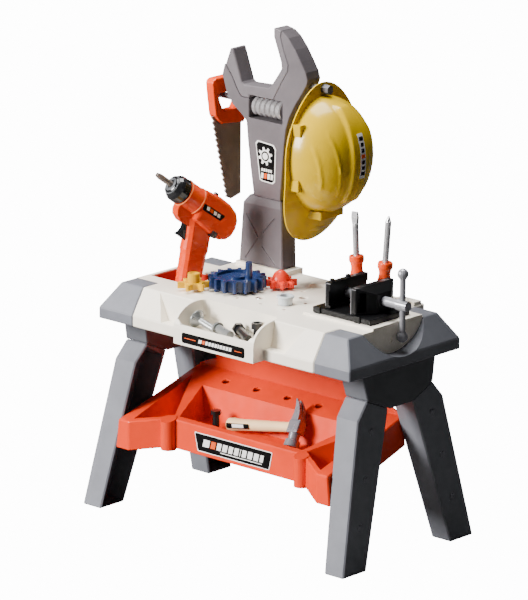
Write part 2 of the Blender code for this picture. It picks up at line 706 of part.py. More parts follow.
def trim_above_rim(shape, proud):
    """Cut a bmesh off along the tilted rim plane, a little proud of it, and cap it."""
    normal = Vector((0, -math.tan(TRAY_TILT), 1)).normalized()
    result = bmesh.ops.bisect_plane(shape, geom=shape.verts[:] + shape.edges[:] + shape.faces[:],
                                    plane_co=(0, TRAY_Y, TRAY_Z + proud), plane_no=normal, clear_outer=True)
    edges = [item for item in result["geom_cut"] if isinstance(item, bmesh.types.BMEdge)]
    bmesh.ops.contextual_create(shape, geom=edges)


def make_plate(name, outline, y_face, thick, material):
    """A thin label plate on a face that looks to -Y."""
    return add(name, prism(outline, "y", y_face - thick - 0.0001, y_face - 0.0001), material, 0)


# Tool wall ----------------------------------------------------------------------------------
def make_pedestal(material):
    """Foot of the tool wall with a chamfered shoulder and four moulded grooves."""
    shoulder = WRENCH_Z + 0.106
    top = WRENCH_Z + 0.121
    front = WALL_FRONT - 0.0015
    back = WALL_FRONT + WALL_THICK + 0.0010
    rows = []
    for left, right, near, far, height in (
            (PEDESTAL_LEFT, PEDESTAL_RIGHT, front, back, WRENCH_Z),
            (PEDESTAL_LEFT + 0.0085, PEDESTAL_RIGHT - 0.0030, front, back, shoulder),
            (PEDESTAL_LEFT + 0.0215, PEDESTAL_RIGHT - 0.0075, front + 0.0035, back - 0.002, top)):
        rows.append([(left, near, height), (right, near, height), (right, far, height),
                     (left, far, height)])
    foot = add("wrench_pedestal", loft(rows), material)
    soften(foot, 0.0018)
    middle_x = (PEDESTAL_LEFT + PEDESTAL_RIGHT) / 2
    middle_z = WRENCH_Z + 0.0465
    for start_x, start_z, end_x_at, end_z in ((-0.033, 0.040, -0.006, 0.003),
                                              (-0.006, 0.000, -0.035, -0.039),
                                              (0.032, 0.041, 0.006, 0.012), (0.003, -0.012, 0.034, -0.040)):
        start = Vector((middle_x + start_x, front, middle_z + start_z))
        end = Vector((middle_x + end_x_at, front, middle_z + end_z))
        combine(foot, rod(start, end, 0.0016, 8))
    return foot


COLUMN_LEFT = [(-0.1583, 0.1325), (-0.1660, 0.1771), (-0.1728, 0.2250), (-0.1761, 0.2571),
               (-0.1882, 0.2681),
               (-0.2077, 0.2812), (-0.2230, 0.3016), (-0.2327, 0.3310), (-0.2276, 0.3498)]
COLUMN_RIGHT = [(-0.0808, 0.4175), (-0.0646, 0.3994), (-0.0516, 0.3807), (-0.0402, 0.3631),
                (-0.0361, 0.3503),
                (-0.0384, 0.3426), (-0.0480, 0.3260), (-0.0640, 0.3030), (-0.0770, 0.2800),
                (-0.0850, 0.2571),
                (-0.0890, 0.2250), (-0.0969, 0.1325)]
GROOVE_LEFT = [(-0.2254, 0.3500), (-0.2097, 0.3307), (-0.1981, 0.3103), (-0.1882, 0.2983)]
GROOVE_RIGHT = [(-0.1125, 0.3076), (-0.0961, 0.3369), (-0.0818, 0.3588), (-0.0803, 0.3712),
                (-0.0902, 0.3929),
                (-0.0984, 0.4160), (-0.0965, 0.4275)]
MOUTH = [(-0.1147, 0.4305), (-0.1145, 0.4147), (-0.1071, 0.3963), (-0.0980, 0.3733), (-0.0963, 0.3613),
         (-0.1194, 0.3287), (-0.1258, 0.3228), (-0.1826, 0.3202), (-0.1875, 0.3244), (-0.2083, 0.3802),
         (-0.2140, 0.3796)]
WINDOW_LEFT = -0.1700
WINDOW_RIGHT = -0.0930
WINDOW_LOW = 0.2640
WINDOW_HIGH = 0.3040


def above_top(points, dx=0.0, dz=0.0):
    """Wrench outline points, given as height over the work surface."""
    return [(x + dx, TOP_HEIGHT + z + dz) for x, z in points]


def make_wrench_body(material):
    """Column, head and right jaw of the wall wrench, open round the worm."""
    gap = SEAT
    outline = above_top([(COLUMN_LEFT[0][0], PLINTH_RISE + 0.1213)]) + above_top(COLUMN_LEFT[1:])
    outline += above_top(GROOVE_LEFT, -gap, -gap)
    outline += above_top([(WINDOW_LEFT, 0.2983 - gap), (WINDOW_LEFT, WINDOW_LOW),
                          (WINDOW_RIGHT, WINDOW_LOW),
                          (WINDOW_RIGHT, WINDOW_HIGH), (-0.1125 + 2 * gap, WINDOW_HIGH)])
    outline += above_top(GROOVE_RIGHT, 2 * gap, 0.0)
    outline += above_top(COLUMN_RIGHT[:-1]) + above_top([(COLUMN_RIGHT[-1][0], PLINTH_RISE + 0.1213)])
    body = add("wrench_body", prism(outline, "y", WALL_FRONT, WALL_FRONT + WALL_THICK), material)
    soften(body, 0.0016)
    worm_z = TOP_HEIGHT + (WINDOW_LOW + WINDOW_HIGH) / 2
    combine(body, rod((WINDOW_LEFT - 0.010, WALL_MID, worm_z), (WINDOW_RIGHT + 0.006, WALL_MID, worm_z),
                      0.0035 + SEAT, 12))
    for x, z, size in ((SAW_PEG_ROOT, SAW_PEG_Z, SAW_PEG_DIA), (HELMET_PEG_ROOT, HELMET_PEG_Z, 0.010)):
        side = -1 if size == SAW_PEG_DIA else 1
        combine(body, rod((x - side * SEAT, WALL_MID, z), (x + side * 0.05, WALL_MID, z), size / 2 + SEAT,
                          16))
    return body


SAW_PEG_Z = TOP_HEIGHT + 0.289
SAW_PEG_ROOT = -0.200
HELMET_PEG_Z = HELMET_MID_Z + 0.1125
HELMET_PEG_ROOT = -0.056


def make_jaw_liner(material):
    """U-shaped jaw moulding that lines the mouth of the wrench."""
    outline = above_top(GROOVE_LEFT) + above_top([(WINDOW_LEFT + SEAT, 0.2983),
                                                  (WINDOW_LEFT + SEAT, WINDOW_HIGH),
                                                  (-0.1125, WINDOW_HIGH)])
    outline += above_top(GROOVE_RIGHT) + above_top(MOUTH)
    liner = add("wrench_jaw_liner", prism(outline, "y", WALL_FRONT, WALL_FRONT + WALL_THICK), material)
    return soften(liner, 0.0016)


def make_worm(material):
    """Ribbed adjusting roller that spins on its pin in the window."""
    length = WINDOW_RIGHT - WINDOW_LEFT - 0.010
    turns = 6
    profile = [(0.0035 + RUN, 0.0)]
    for index in range(turns):
        low = length * index / turns
        high = length * (index + 1) / turns
        profile += [(WORM_DIA / 2 - 0.0022, low + 0.0006), (WORM_DIA / 2 - 0.0004, low + 0.0030),
                    (WORM_DIA / 2 - 0.0004, high - 0.0030), (WORM_DIA / 2 - 0.0022, high - 0.0006)]
    profile += [(0.0035 + RUN, length), (0.0035 + RUN, 0.0)]
    shape = ring_lathe(profile[:-1], 20)
    turn = Matrix.Rotation(math.radians(90), 4, "Y")
    place = (WINDOW_LEFT + 0.003, WALL_MID, TOP_HEIGHT + (WINDOW_LOW + WINDOW_HIGH) / 2)
    bmesh.ops.transform(shape, matrix=Matrix.Translation(place) @ turn, verts=shape.verts)
    return pivot(add("worm_roller", shape, material), place)


def ring_lathe(profile, steps=24):
    """A full spin about Z of a closed (radius, height) loop that stays off the axis."""
    shape = bmesh.new()
    rows = []
    for radius, height in profile:
        row = []
        for index in range(steps):
            turn = 2 * math.pi * index / steps
            row.append(shape.verts.new((radius * math.cos(turn), radius * math.sin(turn), height)))
        rows.append(row)
    for first, second in zip(rows, rows[1:] + rows[:1]):
        for index in range(steps):
            after = (index + 1) % steps
            shape.faces.new((first[index], first[after], second[after], second[index]))
    bmesh.ops.recalc_face_normals(shape, faces=shape.faces)
    return shape


def make_pegs(worm_metal, saw_metal, helmet_metal):
    """Worm pin, saw peg and the helmet's hex-headed hook."""
    worm_z = TOP_HEIGHT + (WINDOW_LOW + WINDOW_HIGH) / 2
    add("worm_pin", rod((WINDOW_LEFT - 0.009, WALL_MID, worm_z), (WINDOW_RIGHT + 0.005, WALL_MID, worm_z),
                        0.0035, 12),
        worm_metal)
    tip = SAW_FACE_X - SAW_THICK - 0.008
    add("saw_peg", rod((SAW_PEG_ROOT, WALL_MID, SAW_PEG_Z), (tip, WALL_MID, SAW_PEG_Z), SAW_PEG_DIA / 2,
                       16), saw_metal)
    hook = add("helmet_peg", rod((HELMET_PEG_ROOT, WALL_MID, HELMET_PEG_Z),
                                 (HELMET_RIM_X + 0.0035, WALL_MID, HELMET_PEG_Z), 0.005, 16), helmet_metal)
    knob = rod((HELMET_RIM_X - 0.0055, WALL_MID, HELMET_PEG_Z), (HELMET_RIM_X + 0.0150, WALL_MID,
                                                                 HELMET_PEG_Z),
               HELMET_PEG_DIA / 2, 6)
    combine(hook, knob, "UNION")


# Saw -------------------------------------------------------------------------------------------
SAW_BLADE_TOP = 0.243     # heights over the work surface
SAW_TIP = 0.0993


def make_saw(handle_plastic, blade_plastic):
    """Hand saw hung by its grip: grip ring and toothed blade let into it."""
    y0 = WALL_MID - 0.0325
    grip = [(0.0005, 0.3150), (0.0030, 0.3200), (0.0090, 0.3222), (0.0560, 0.3225), (0.0720, 0.3150),
            (0.0800, 0.2980), (0.0830, 0.2500), (0.0824, 0.2368), (0.0796, 0.2335), (0.0260, 0.2395),
            (0.0170, 0.2460), (0.0090, 0.2563), (0.0035, 0.2900)]
    outline = [(y0 + y, TOP_HEIGHT + z) for y, z in grip]
    handle = add("saw_handle", prism(outline, "x", SAW_FACE_X - SAW_THICK, SAW_FACE_X), handle_plastic)
    soften(handle, 0.0030, 2)
    top = SAW_PEG_Z - TOP_HEIGHT + SAW_PEG_DIA / 2 + SEAT
    loop = [(0.0150, top - 0.004), (0.0190, top), (0.0600, top), (0.0655, top - 0.006), (0.0660, 0.2690),
            (0.0600, 0.2610), (0.0330, 0.2610), (0.0245, 0.2665), (0.0180, 0.2800)]
    combine(handle, prism([(y0 + y, TOP_HEIGHT + z) for y, z in loop], "x", SAW_FACE_X - 0.03,
                          SAW_FACE_X + 0.01))
    teeth = 14
    front = [(0.0060, 0.2530), (0.0430, SAW_TIP + 0.006)]
    edge = []
    for index in range(teeth):
        for part, inset in ((0.0, 0.0), (0.72, 0.0040)):
            share = (index + part) / teeth
            edge.append((front[0][0] + (front[1][0] - front[0][0]) * share + inset,
                         front[0][1] + (front[1][1] - front[0][1]) * share))
    blade = edge + [front[1], (0.0556, SAW_TIP), (0.0805, SAW_TIP + 0.0057), (0.0805, SAW_BLADE_TOP),
                    (0.0300, SAW_BLADE_TOP + 0.004), (0.0160, 0.2555)]
    outline = [(y0 + y, TOP_HEIGHT + z) for y, z in blade]
    middle = SAW_FACE_X - SAW_THICK / 2
    add("saw_blade", prism(outline, "x", middle - 0.0016, middle + 0.0016), blade_plastic, 0)
    slot = [(0.0020, 0.2300), (0.0900, 0.2300), (0.0900, SAW_BLADE_TOP + SEAT),
            (0.0300, SAW_BLADE_TOP + 0.004 + SEAT),
            (0.0155, 0.2555 + SEAT), (0.0020, 0.2560)]
    combine(handle, prism([(y0 + y, TOP_HEIGHT + z) for y, z in slot], "x", middle - 0.0016 - SEAT,
                          middle + 0.0016 + SEAT))


# Helmet ------------------------------------------------------------------------------------------
def make_helmet(material):
    """Hard hat hung by its brim, crown to +X and visor down: dome and brim in one shell."""
    high, wide, long = 0.087, 0.086, 0.102
    thick = 0.0025
    around = 40
    rings = 7
    shape = bmesh.new()

    def brim(turn):
        down = max(0.0, -math.sin(turn))
        up = max(0.0, math.sin(turn))
        reach = 0.0085 + 0.0470 * down ** 2.2 + 0.0135 * up ** 6
        droop = 0.0300 * down ** 2.5
        return reach, droop

    def point(level, turn, inner):
        off = thick if inner else 0.0
        if level <= rings:
            lean = math.radians(90) * level / rings
            return (HELMET_RIM_X + (high - off) * math.cos(lean),
                    WALL_MID + (wide - off) * math.sin(lean) * math.cos(turn),
                    HELMET_MID_Z + (long - off) * math.sin(lean) * math.sin(turn))
        reach, droop = brim(turn)
        share = (level - rings) / 2
        side = Vector((0, math.cos(turn), math.sin(turn)))
        base = Vector((HELMET_RIM_X, WALL_MID + wide * math.cos(turn),
                       HELMET_MID_Z + long * math.sin(turn)))
        place = base + side * reach * share
        place.x -= droop * share ** 1.3 + off
        return place

    sheets = []
    for inner in (False, True):
        pole = shape.verts.new((HELMET_RIM_X + high - (thick if inner else 0.0), WALL_MID, HELMET_MID_Z))
        rows = []
        for level in range(1, rings + 3):
            rows.append([shape.verts.new(point(level, 2 * math.pi * index / around,
                                               inner)) for index in range(around)])
        for index in range(around):
            after = (index + 1) % around
            shape.faces.new((pole, rows[0][index], rows[0][after]))
            for first, second in zip(rows, rows[1:]):
                shape.faces.new((first[index], second[index], second[after], first[after]))
        sheets.append(rows)
    for index in range(around):
        after = (index + 1) % around
        shape.faces.new((sheets[0][-1][index], sheets[1][-1][index], sheets[1][-1][after],
                         sheets[0][-1][after]))
    helmet = add("helmet_shell", shape, material)
    combine(helmet, rod((HELMET_RIM_X - 0.02, WALL_MID, HELMET_PEG_Z),
                        (HELMET_RIM_X + 0.02, WALL_MID, HELMET_PEG_Z),
                        HELMET_PEG_DIA / 2 + 2 * SEAT, 20))
    return helmet


# Gears ---------------------------------------------------------------------------------------------
def gear_outline(teeth, tip, root, half_tip, half_root, phase):
    """Toothed outline with flat-topped teeth; phase is the direction of one tooth."""
    points = []
    for index in range(teeth):
        middle = phase + 2 * math.pi * index / teeth
        for radius, half in ((root, -half_root), (tip - 0.0015, -half_tip), (tip, -half_tip * 0.45),
                             (tip, half_tip * 0.45), (tip - 0.0015, half_tip), (root, half_root)):
            turn = middle + half / radius
            points.append((radius * math.cos(turn), radius * math.sin(turn)))
    return points


def make_gears(blue, yellow, orange, axle_plastic):
    """Three spur gears in mesh, each on its own axle stub in the table."""
    places = gear_places()
    sizes = [("gear_blue", blue, BLUE_TEETH, BLUE_TIP, BLUE_TIP - 0.0090, 0.0029, 0.0038,
              GEAR_ANGLE + math.pi / BLUE_TEETH, 0.0200),
             ("gear_yellow", yellow, YELLOW_TEETH, PINION_TIP, 0.0165, 0.0031, 0.0042, GEAR_ANGLE, 0.0105),
             ("gear_orange", orange, ORANGE_TEETH, PINION_TIP, 0.0190, 0.0027, 0.0040,
              GEAR_ANGLE + math.pi, 0.0105)]
    base = TOP_HEIGHT + GEAR_RISE + SEAT
    for (x, y), (name, color, teeth, tip, root, half_tip, half_root, phase, tall) in zip(places, sizes):
        outline = [(x + px, y + py) for px, py in gear_outline(teeth, tip, root, half_tip, half_root,
                                                               phase)]
        gear = add(name, prism(outline, "z", base, base + tall), color)
        bore_top = base + tall - 0.0030
        if name == "gear_blue":
            combine(gear, ring_at(x, y, 0.0150, 0.0350, base + tall - 0.0045, base + tall + 0.01))
            combine(gear, rod((x + 0.0245, y + 0.0020, base + 0.012),
                              (x + 0.0245, y + 0.0020, base + 0.0470),
                              0.0066, 16, 0.0058), "UNION")
        if name == "gear_yellow":
            combine(gear, rod((x, y, base + 0.005), (x, y, base + tall + 0.015), 0.0105, 20), "UNION")
            combine(gear, rod((x, y, base + tall + 0.0135), (x, y, base + tall + 0.02), 0.0070, 16))
        if name == "gear_orange":
            dome = lathe([(0, 0)] + [(r, h) for r, h in arc((0, 0.0), 0.0160, 0.0210, 0, 90,
                                                            6)[:-1]] + [(0, 0.0210)], 24)
            bmesh.ops.translate(dome, verts=dome.verts, vec=(x, y, base + 0.0065))
            combine(gear, dome, "UNION")
        combine(gear, rod((x, y, base - 0.01), (x, y, bore_top), AXLE_DIA / 2 + RUN, 16))
        pivot(gear, (x, y, base))
        axle = add(name.replace("gear", "axle"), rod((x, y, TOP_HEIGHT - 0.006), (x, y, bore_top - 0.0005),
                                                     AXLE_DIA / 2, 16),
                   axle_plastic[name])
        combine(axle, rod((x, y, TOP_HEIGHT + SEAT), (x, y, TOP_HEIGHT + GEAR_RISE), BOSS_DIA / 2, 24),
                "UNION")


def ring_at(x, y, inner, outer, low, high):
    """A square-section ring about a vertical axis."""
    shape = ring_lathe([(inner, low), (outer, low), (outer, high), (inner, high)], 28)
    bmesh.ops.translate(shape, verts=shape.verts, vec=(x, y, 0))
    return shape


# Vise -------------------------------------------------------------------------------------------------
def make_vise(base_black, jaw_black, slider_black, screw_grey, bar_grey):
    """Bench vise: base with a guide slot, fixed jaw, sliding jaw, screw and tommy bar."""
    low = TOP_HEIGHT + PAD_RISE + SEAT
    deck = low + VISE_BASE_H
    end = VISE_X + VISE_LONG
    back = VISE_FRONT + VISE_DEEP
    tip = TOP_HEIGHT + PAD_RISE + JAW_TOP
    axis_z = TOP_HEIGHT + PAD_RISE + SCREW_RISE
    fixed_left = VISE_X + 0.0228
    fixed_right = fixed_left + 0.0122
    moving_left = fixed_right + JAW_GAP
    moving_right = moving_left + 0.0120
    nose = moving_right + 0.0215
    jaw_front = VISE_FRONT + 0.005
    jaw_back = VISE_MID_Y + (VISE_MID_Y - jaw_front)
    base = add("vise_base", box((VISE_X, VISE_FRONT, low), (end, back, deck)), base_black)
    soften(base, 0.0010)
    combine(base, box((fixed_right + 0.004, VISE_MID_Y - 0.006, low + 0.003),
                      (end - 0.003, VISE_MID_Y + 0.006, deck + 0.01)))
    for left in (VISE_X + 0.006, end - 0.034):
        combine(base, box((left, VISE_FRONT - 0.0022, low), (left + 0.012, VISE_FRONT + 0.002,
                                                             deck + 0.0012)), "UNION")
    fixed = add("vise_fixed_jaw", box((fixed_left, jaw_front, deck + SEAT), (fixed_right, jaw_back, tip)),
                jaw_black)
    soften(fixed, 0.0010)
    combine(fixed, box((fixed_right - 0.0035, jaw_front - 0.01, deck + 0.0060),
                       (fixed_right + 0.01, jaw_back + 0.01, tip - 0.014)))
    for y in (jaw_front + 0.012, jaw_front + 0.052):
        head = rod((fixed_left + 0.0055, y, tip - 0.002), (fixed_left + 0.0055, y, tip + 0.0040), 0.0052,
                   14, 0.0040)
        combine(fixed, head, "UNION")
    combine(fixed, rod((fixed_left + 0.002, VISE_MID_Y, axis_z), (fixed_right + 0.01, VISE_MID_Y, axis_z),
                       SCREW_DIA / 2 + RUN, 20))
    # sliding jaw: full-width face, body that narrows to the screw boss
    def section(x, near, far, top):
        return [(x, near, deck + RUN), (x, far, deck + RUN), (x, far, top), (x, near, top)]
    slider = add("vise_moving_jaw", loft([
        section(moving_left, jaw_front, jaw_back, tip), section(moving_right, jaw_front, jaw_back, tip),
        section(nose, VISE_MID_Y - 0.018, VISE_MID_Y + 0.018, tip - 0.0115)]), slider_black)
    soften(slider, 0.0010)
    keel = box((moving_left + 0.003, VISE_MID_Y - 0.006 + RUN, low + 0.003 + RUN),
               (nose - 0.003, VISE_MID_Y + 0.006 - RUN, deck + 0.004))
    combine(slider, keel, "UNION")
    for side in (-1, 1):
        pocket = [(moving_right + 0.0015, VISE_MID_Y + side * 0.060),
                  (moving_right + 0.0015, VISE_MID_Y + side * 0.0155),
                  (moving_right + 0.0105, VISE_MID_Y + side * 0.0135),
                  (moving_right + 0.0105, VISE_MID_Y + side * 0.060)]
        combine(slider, prism(pocket, "z", deck + 0.004, tip - 0.0075))
    combine(slider, rod((moving_left - 0.01, VISE_MID_Y, axis_z), (nose + 0.01, VISE_MID_Y, axis_z),
                        SCREW_DIA / 2 + RUN, 20))
    pivot(slider, (moving_left, VISE_MID_Y, axis_z))
    # screw, carried by the fixed jaw, with the tommy bar through its outer end
    screw = add("vise_screw", rod((fixed_left + 0.0025, VISE_MID_Y, axis_z),
                                  (TBAR_X + 0.0125, VISE_MID_Y, axis_z), SCREW_DIA / 2, 20),
                screw_grey)
    combine(screw, rod((TBAR_X - 0.0095, VISE_MID_Y, axis_z), (TBAR_X + 0.0125, VISE_MID_Y, axis_z),
                       SCREW_END_DIA / 2, 24,
                       SCREW_END_DIA / 2 - 0.0016), "UNION")
    combine(screw, rod((TBAR_X, VISE_MID_Y, axis_z - 0.02), (TBAR_X, VISE_MID_Y, axis_z + 0.02),
                       0.0045 + SEAT, 14))
    pivot(screw, (TBAR_X, VISE_MID_Y, axis_z))
    half = TBAR_HALF
    knob = TBAR_KNOB / 2
    profile = [(0, -half)] + [(radius, height - half + knob) for radius,
                              height in arc((0, 0), knob, knob, -70, 50, 6)]
    profile += [(TBAR_DIA / 2, -half + 2 * knob), (TBAR_DIA / 2, -SCREW_END_DIA / 2 - 0.0012),
                (0.0045, -SCREW_END_DIA / 2 - 0.0006)]
    profile += [(radius, -height) for radius, height in reversed(profile)]
    bar = lathe(profile, 14)
    bmesh.ops.translate(bar, verts=bar.verts, vec=(TBAR_X, VISE_MID_Y, axis_z))
    pivot(add("vise_tommy_bar", bar, bar_grey), (TBAR_X, VISE_MID_Y, axis_z))


# Drill, drawn in its own frame: X along the barrel, Y across, Z up, then turned into place ----------
def drill_frame():
    """Matrix from the drill's own frame to the bench."""
    level = Vector((-math.sin(DRILL_TURN), -math.cos(DRILL_TURN), 0))
    ahead = level * math.cos(DRILL_TILT) + Vector((0, 0, math.sin(DRILL_TILT)))
    over = -level * math.sin(DRILL_TILT) + Vector((0, 0, math.cos(DRILL_TILT)))
    across = over.cross(ahead)
    place = Vector((DRILL_X, DRILL_Y, TOP_HEIGHT + 0.1517)) + level * 0.0132
    turn = Matrix((ahead, across, over)).transposed().to_4x4()
    return Matrix.Translation(place) @ turn


CASING = [(-0.0300, 0.0250), (-0.0600, 0.0285), (-0.0850, 0.0270), (-0.1020, 0.0215), (-0.1130, 0.0110),
          (-0.1180, -0.0030), (-0.1180, -0.0170), (-0.1120, -0.0280), (-0.1010, -0.0345),
          (-0.0850, -0.0360),
          (-0.0350, -0.0300)]
GUARD = [(-0.0015, -0.0180), (-0.0025, -0.0300), (-0.0080, -0.0385), (-0.0205, -0.0440), (-0.0480, -0.0440),
         (-0.0480, -0.0180)]
GRIP_TOP = (-0.0541, -0.0200)
GRIP_RUN = (-0.4240, -0.9054)
GRIP_LONG = 0.150
TRIGGER_TRAVEL = 0.0070
SWITCH_SIZE = 0.0110
SWITCH_AT = (-0.0830, -0.0325)


def grip_section(share, width, long, inset=0.0):
    """One ring of the grip: a rounded oblong square to the grip's run."""
    center = (GRIP_TOP[0] + GRIP_RUN[0] * share * GRIP_LONG, GRIP_TOP[1] + GRIP_RUN[1] * share * GRIP_LONG)
    side = (-GRIP_RUN[1], GRIP_RUN[0])
    ring = []
    for u, v in ((1, -0.35), (1, 0.35), (0.88, 0.72), (0.62, 1), (-0.62, 1), (-0.88, 0.72), (-1, 0.35),
                 (-1, -0.35),
                 (-0.88, -0.72), (-0.62, -1), (0.62, -1), (0.88, -0.72)):
        reach = u * (long / 2 - inset)
        ring.append((center[0] + side[0] * reach, v * (width / 2 - inset), center[1] + side[1] * reach))
    return ring


def make_drill(colors):
    """Toy drill: two body shells, chuck, bit, trigger, direction bolt and stud."""
    frame = drill_frame()
    halves = []
    for name, side in (("drill_body_left", 1), ("drill_body_right", -1)):
        body = add(name, pillow(CASING, DRILL_HALF, 0.0075), colors[name])
        combine(body, lathe_along(0.0, -0.0340, [(COLLAR_RADIUS, 0.0), (COLLAR_RADIUS, 1.0)], 32), "UNION")
        combine(body, loft([grip_section(0.0, 0.0300, 0.0540), grip_section(0.24, 0.0300, 0.0490),
                            grip_section(0.37, 0.0310, 0.0500), grip_section(0.42, 0.0285, 0.0465),
                            grip_section(0.70, 0.0290, 0.0440), grip_section(1.0, 0.0300, 0.0455)]),
                            "UNION")
        combine(body, prism(GUARD, "y", -0.0100, 0.0100), "UNION")
        combine(body, pillow(CASING, DRILL_HALF - 0.0027, 0.0055, 0.0027))
        combine(body, loft([grip_section(0.05, 0.0285, 0.0490, 0.0028),
                            grip_section(0.42, 0.0285, 0.0465, 0.0028),
                            grip_section(1.1, 0.0285, 0.0440, 0.0028)]))
        combine(body, lathe_along(-0.05, 0.01, [(SPINDLE_DIA / 2 + RUN, 0.0),
                                                (SPINDLE_DIA / 2 + RUN, 1.0)], 20))
        combine(body, box((-0.076, -0.0060 - RUN, -0.0665), (-0.0215, 0.0060 + RUN, -0.0395)))
        half_size = SWITCH_SIZE / 2 + RUN
        combine(body, box((SWITCH_AT[0] - half_size, -0.05, SWITCH_AT[1] - half_size),
                          (SWITCH_AT[0] + half_size, 0.05, SWITCH_AT[1] + half_size)))
        combine(body, rod((-0.058, 0, 0.010), (-0.058, 0, 0.04), 0.0022 + SEAT, 12, spin=0.5))
        low, high = sorted((side * SEAT / 2, -side * 0.08))
        combine(body, box((-0.2, low, -0.3), (0.1, high, 0.1)))
        halves.append(body)
    profile = [(0.0205, 0.0), (0.0235, 0.10), (0.0235, 0.55), (0.0215, 0.70), (0.0180, 0.85),
               (0.0145, 0.96), (0.0125, 1.0)]
    chuck = add("drill_chuck", lathe_along(SEAT, 0.0300, profile, 32), colors["drill_chuck"])
    combine(chuck, rod((-0.0400, 0, 0), (0.010, 0, 0), SPINDLE_DIA / 2, 20), "UNION")
    combine(chuck, rod((0.0150, 0, 0), (0.05, 0, 0), BIT_DIA / 2 + SEAT, 16))
    bit = add("drill_bit", lathe_along(0.0150 + SEAT, 0.0640, [(BIT_DIA / 2, 0.0), (BIT_DIA / 2, 0.86),
                                                               (0.0038, 1.0)], 16),
              colors["drill_bit"])
    combine(bit, box((0.0585, -0.0012, -0.01), (0.07, 0.0012, 0.01)))
    face = [(-0.0620, -0.0400), (-0.0300, -0.0400), (-0.0320, -0.0455), (-0.0345, -0.0525),
            (-0.0330, -0.0600),
            (-0.0295, -0.0660), (-0.0620, -0.0660)]
    trigger = add("drill_trigger", prism(face, "y", -0.0060, 0.0060), colors["drill_trigger"])
    soften(trigger, 0.0008)
    size = SWITCH_SIZE / 2
    bolt = box((SWITCH_AT[0] - size, -0.0240, SWITCH_AT[1] - size),
               (SWITCH_AT[0] + size, 0.0240, SWITCH_AT[1] + size))
    switch = add("drill_direction_switch", bolt, colors["drill_direction_switch"])
    soften(switch, 0.0008)
    stud = add("drill_top_stud", rod((-0.058, 0, 0.012), (-0.058, 0, 0.0300), 0.0022, 12),
               colors["drill_top_stud"])
    combine(stud, rod((-0.058, 0, 0.0288), (-0.058, 0, 0.0325), 0.0052, 16, 0.0036), "UNION")
    for piece in halves + [chuck, bit, trigger, switch, stud]:
        piece.data.transform(frame)
    floor = TOP_HEIGHT - POCKET_DEEP + SEAT
    for piece in halves:
        combine(piece, box((-0.3, -0.2, 0.2), (0.0, 0.2, floor)))
    for piece, place in ((chuck, (0, 0, 0)), (bit, (0.015, 0, 0)), (trigger, (-0.062, 0, -0.053)),
                         (switch, (SWITCH_AT[0], 0, SWITCH_AT[1]))):
        pivot(piece, frame @ Vector(place))


def lathe_along(start, end, profile, steps):
    """A lathe whose axis is X; profile gives (radius, share of the way)."""
    points = [(radius, start + (end - start) * share) for radius, share in profile]
    shape = lathe([(0, points[0][1])] + points + [(0, points[-1][1])], steps, 0.5)
    bmesh.ops.transform(shape, matrix=Matrix.Rotation(math.radians(90), 4, "Y"), verts=shape.verts)
    return shape


# Screwdrivers --------------------------------------------------------------------------------------
def make_driver(kind, x, lean, handle_plastic, shaft_plastic):
    """Waisted handle standing in its hole, blade up."""
    low = 0.0
    profile = [(0, low), (0.0110, low), (0.0128, 0.0020), (DRIVER_DIA / 2, 0.0060),
               (DRIVER_DIA / 2, 0.0500),
               (0.0126, 0.0560), (0.0112, 0.0620), (0.0100, 0.0690), (0.0098, 0.0730), (0.0108, 0.0790),
               (0.0127, 0.0825), (0.0131, 0.0850), (0.0129, 0.0905), (0.0118, 0.0925), (0, 0.0925)]
    handle = lathe(profile, 24)
    handle = add("driver_" + kind + "_handle", handle, handle_plastic)
    bore = 0.0700
    combine(handle, rod((0, 0, bore), (0, 0, 0.1), 0.00525 + SEAT, 16))
    tip = 0.1680 if kind == "flat" else 0.1735
    if kind == "flat":
        shaft = lathe([(0, bore + SEAT), (0.00525, bore + SEAT), (0.00525, tip - 0.024),
                       (0.0046, tip - 0.020), (0, tip - 0.020)], 16)
        made = add("driver_flat_shaft", shaft, shaft_plastic)
        blade = loft([[(-0.0044, -0.0030, tip - 0.022), (0.0044, -0.0030, tip - 0.022),
                       (0.0044, 0.0030, tip - 0.022), (-0.0044, 0.0030, tip - 0.022)],
                      [(-0.0069, -0.0024, tip - 0.010), (0.0069, -0.0024, tip - 0.010),
                       (0.0069, 0.0024, tip - 0.010), (-0.0069, 0.0024, tip - 0.010)],
                      [(-0.0062, -0.0011, tip), (0.0062, -0.0011, tip), (0.0062, 0.0011, tip),
                       (-0.0062, 0.0011, tip)]])
        combine(made, blade, "UNION")
    else:
        shaft = lathe([(0, bore + SEAT), (0.00525, bore + SEAT), (0.00525, tip - 0.010), (0.0016, tip),
                       (0, tip)], 16)
        made = add("driver_cross_shaft", shaft, shaft_plastic)
        for turn in range(4):
            angle = math.radians(45 + 90 * turn)
            cut = box((-0.0018, -0.0018, tip - 0.009), (0.0018, 0.0018, tip + 0.01))
            bmesh.ops.translate(cut, verts=cut.verts, vec=(0.0050 * math.cos(angle),
                                                           0.0050 * math.sin(angle), 0))
            combine(made, cut)
    floor = TOP_HEIGHT - CUP_DEEP + 2 * SEAT + 0.0128 * abs(math.sin(lean))
    place = Vector((x - math.tan(lean) * CUP_DEEP, DRIVER_Y, floor))
    turn = Matrix.Translation(place) @ Matrix.Rotation(lean, 4, "Y")
    for piece in (handle, made):
        piece.data.transform(turn)
        pivot(piece, place)


# Hammer ----------------------------------------------------------------------------------------------
HAMMER_BUTT = (-0.0845, -0.0295)
HAMMER_MID = (0.0680, -0.0260)
HAMMER_SUNK = 0.0112        # the head's middle under the tray's rim, where it leans on the back ledge


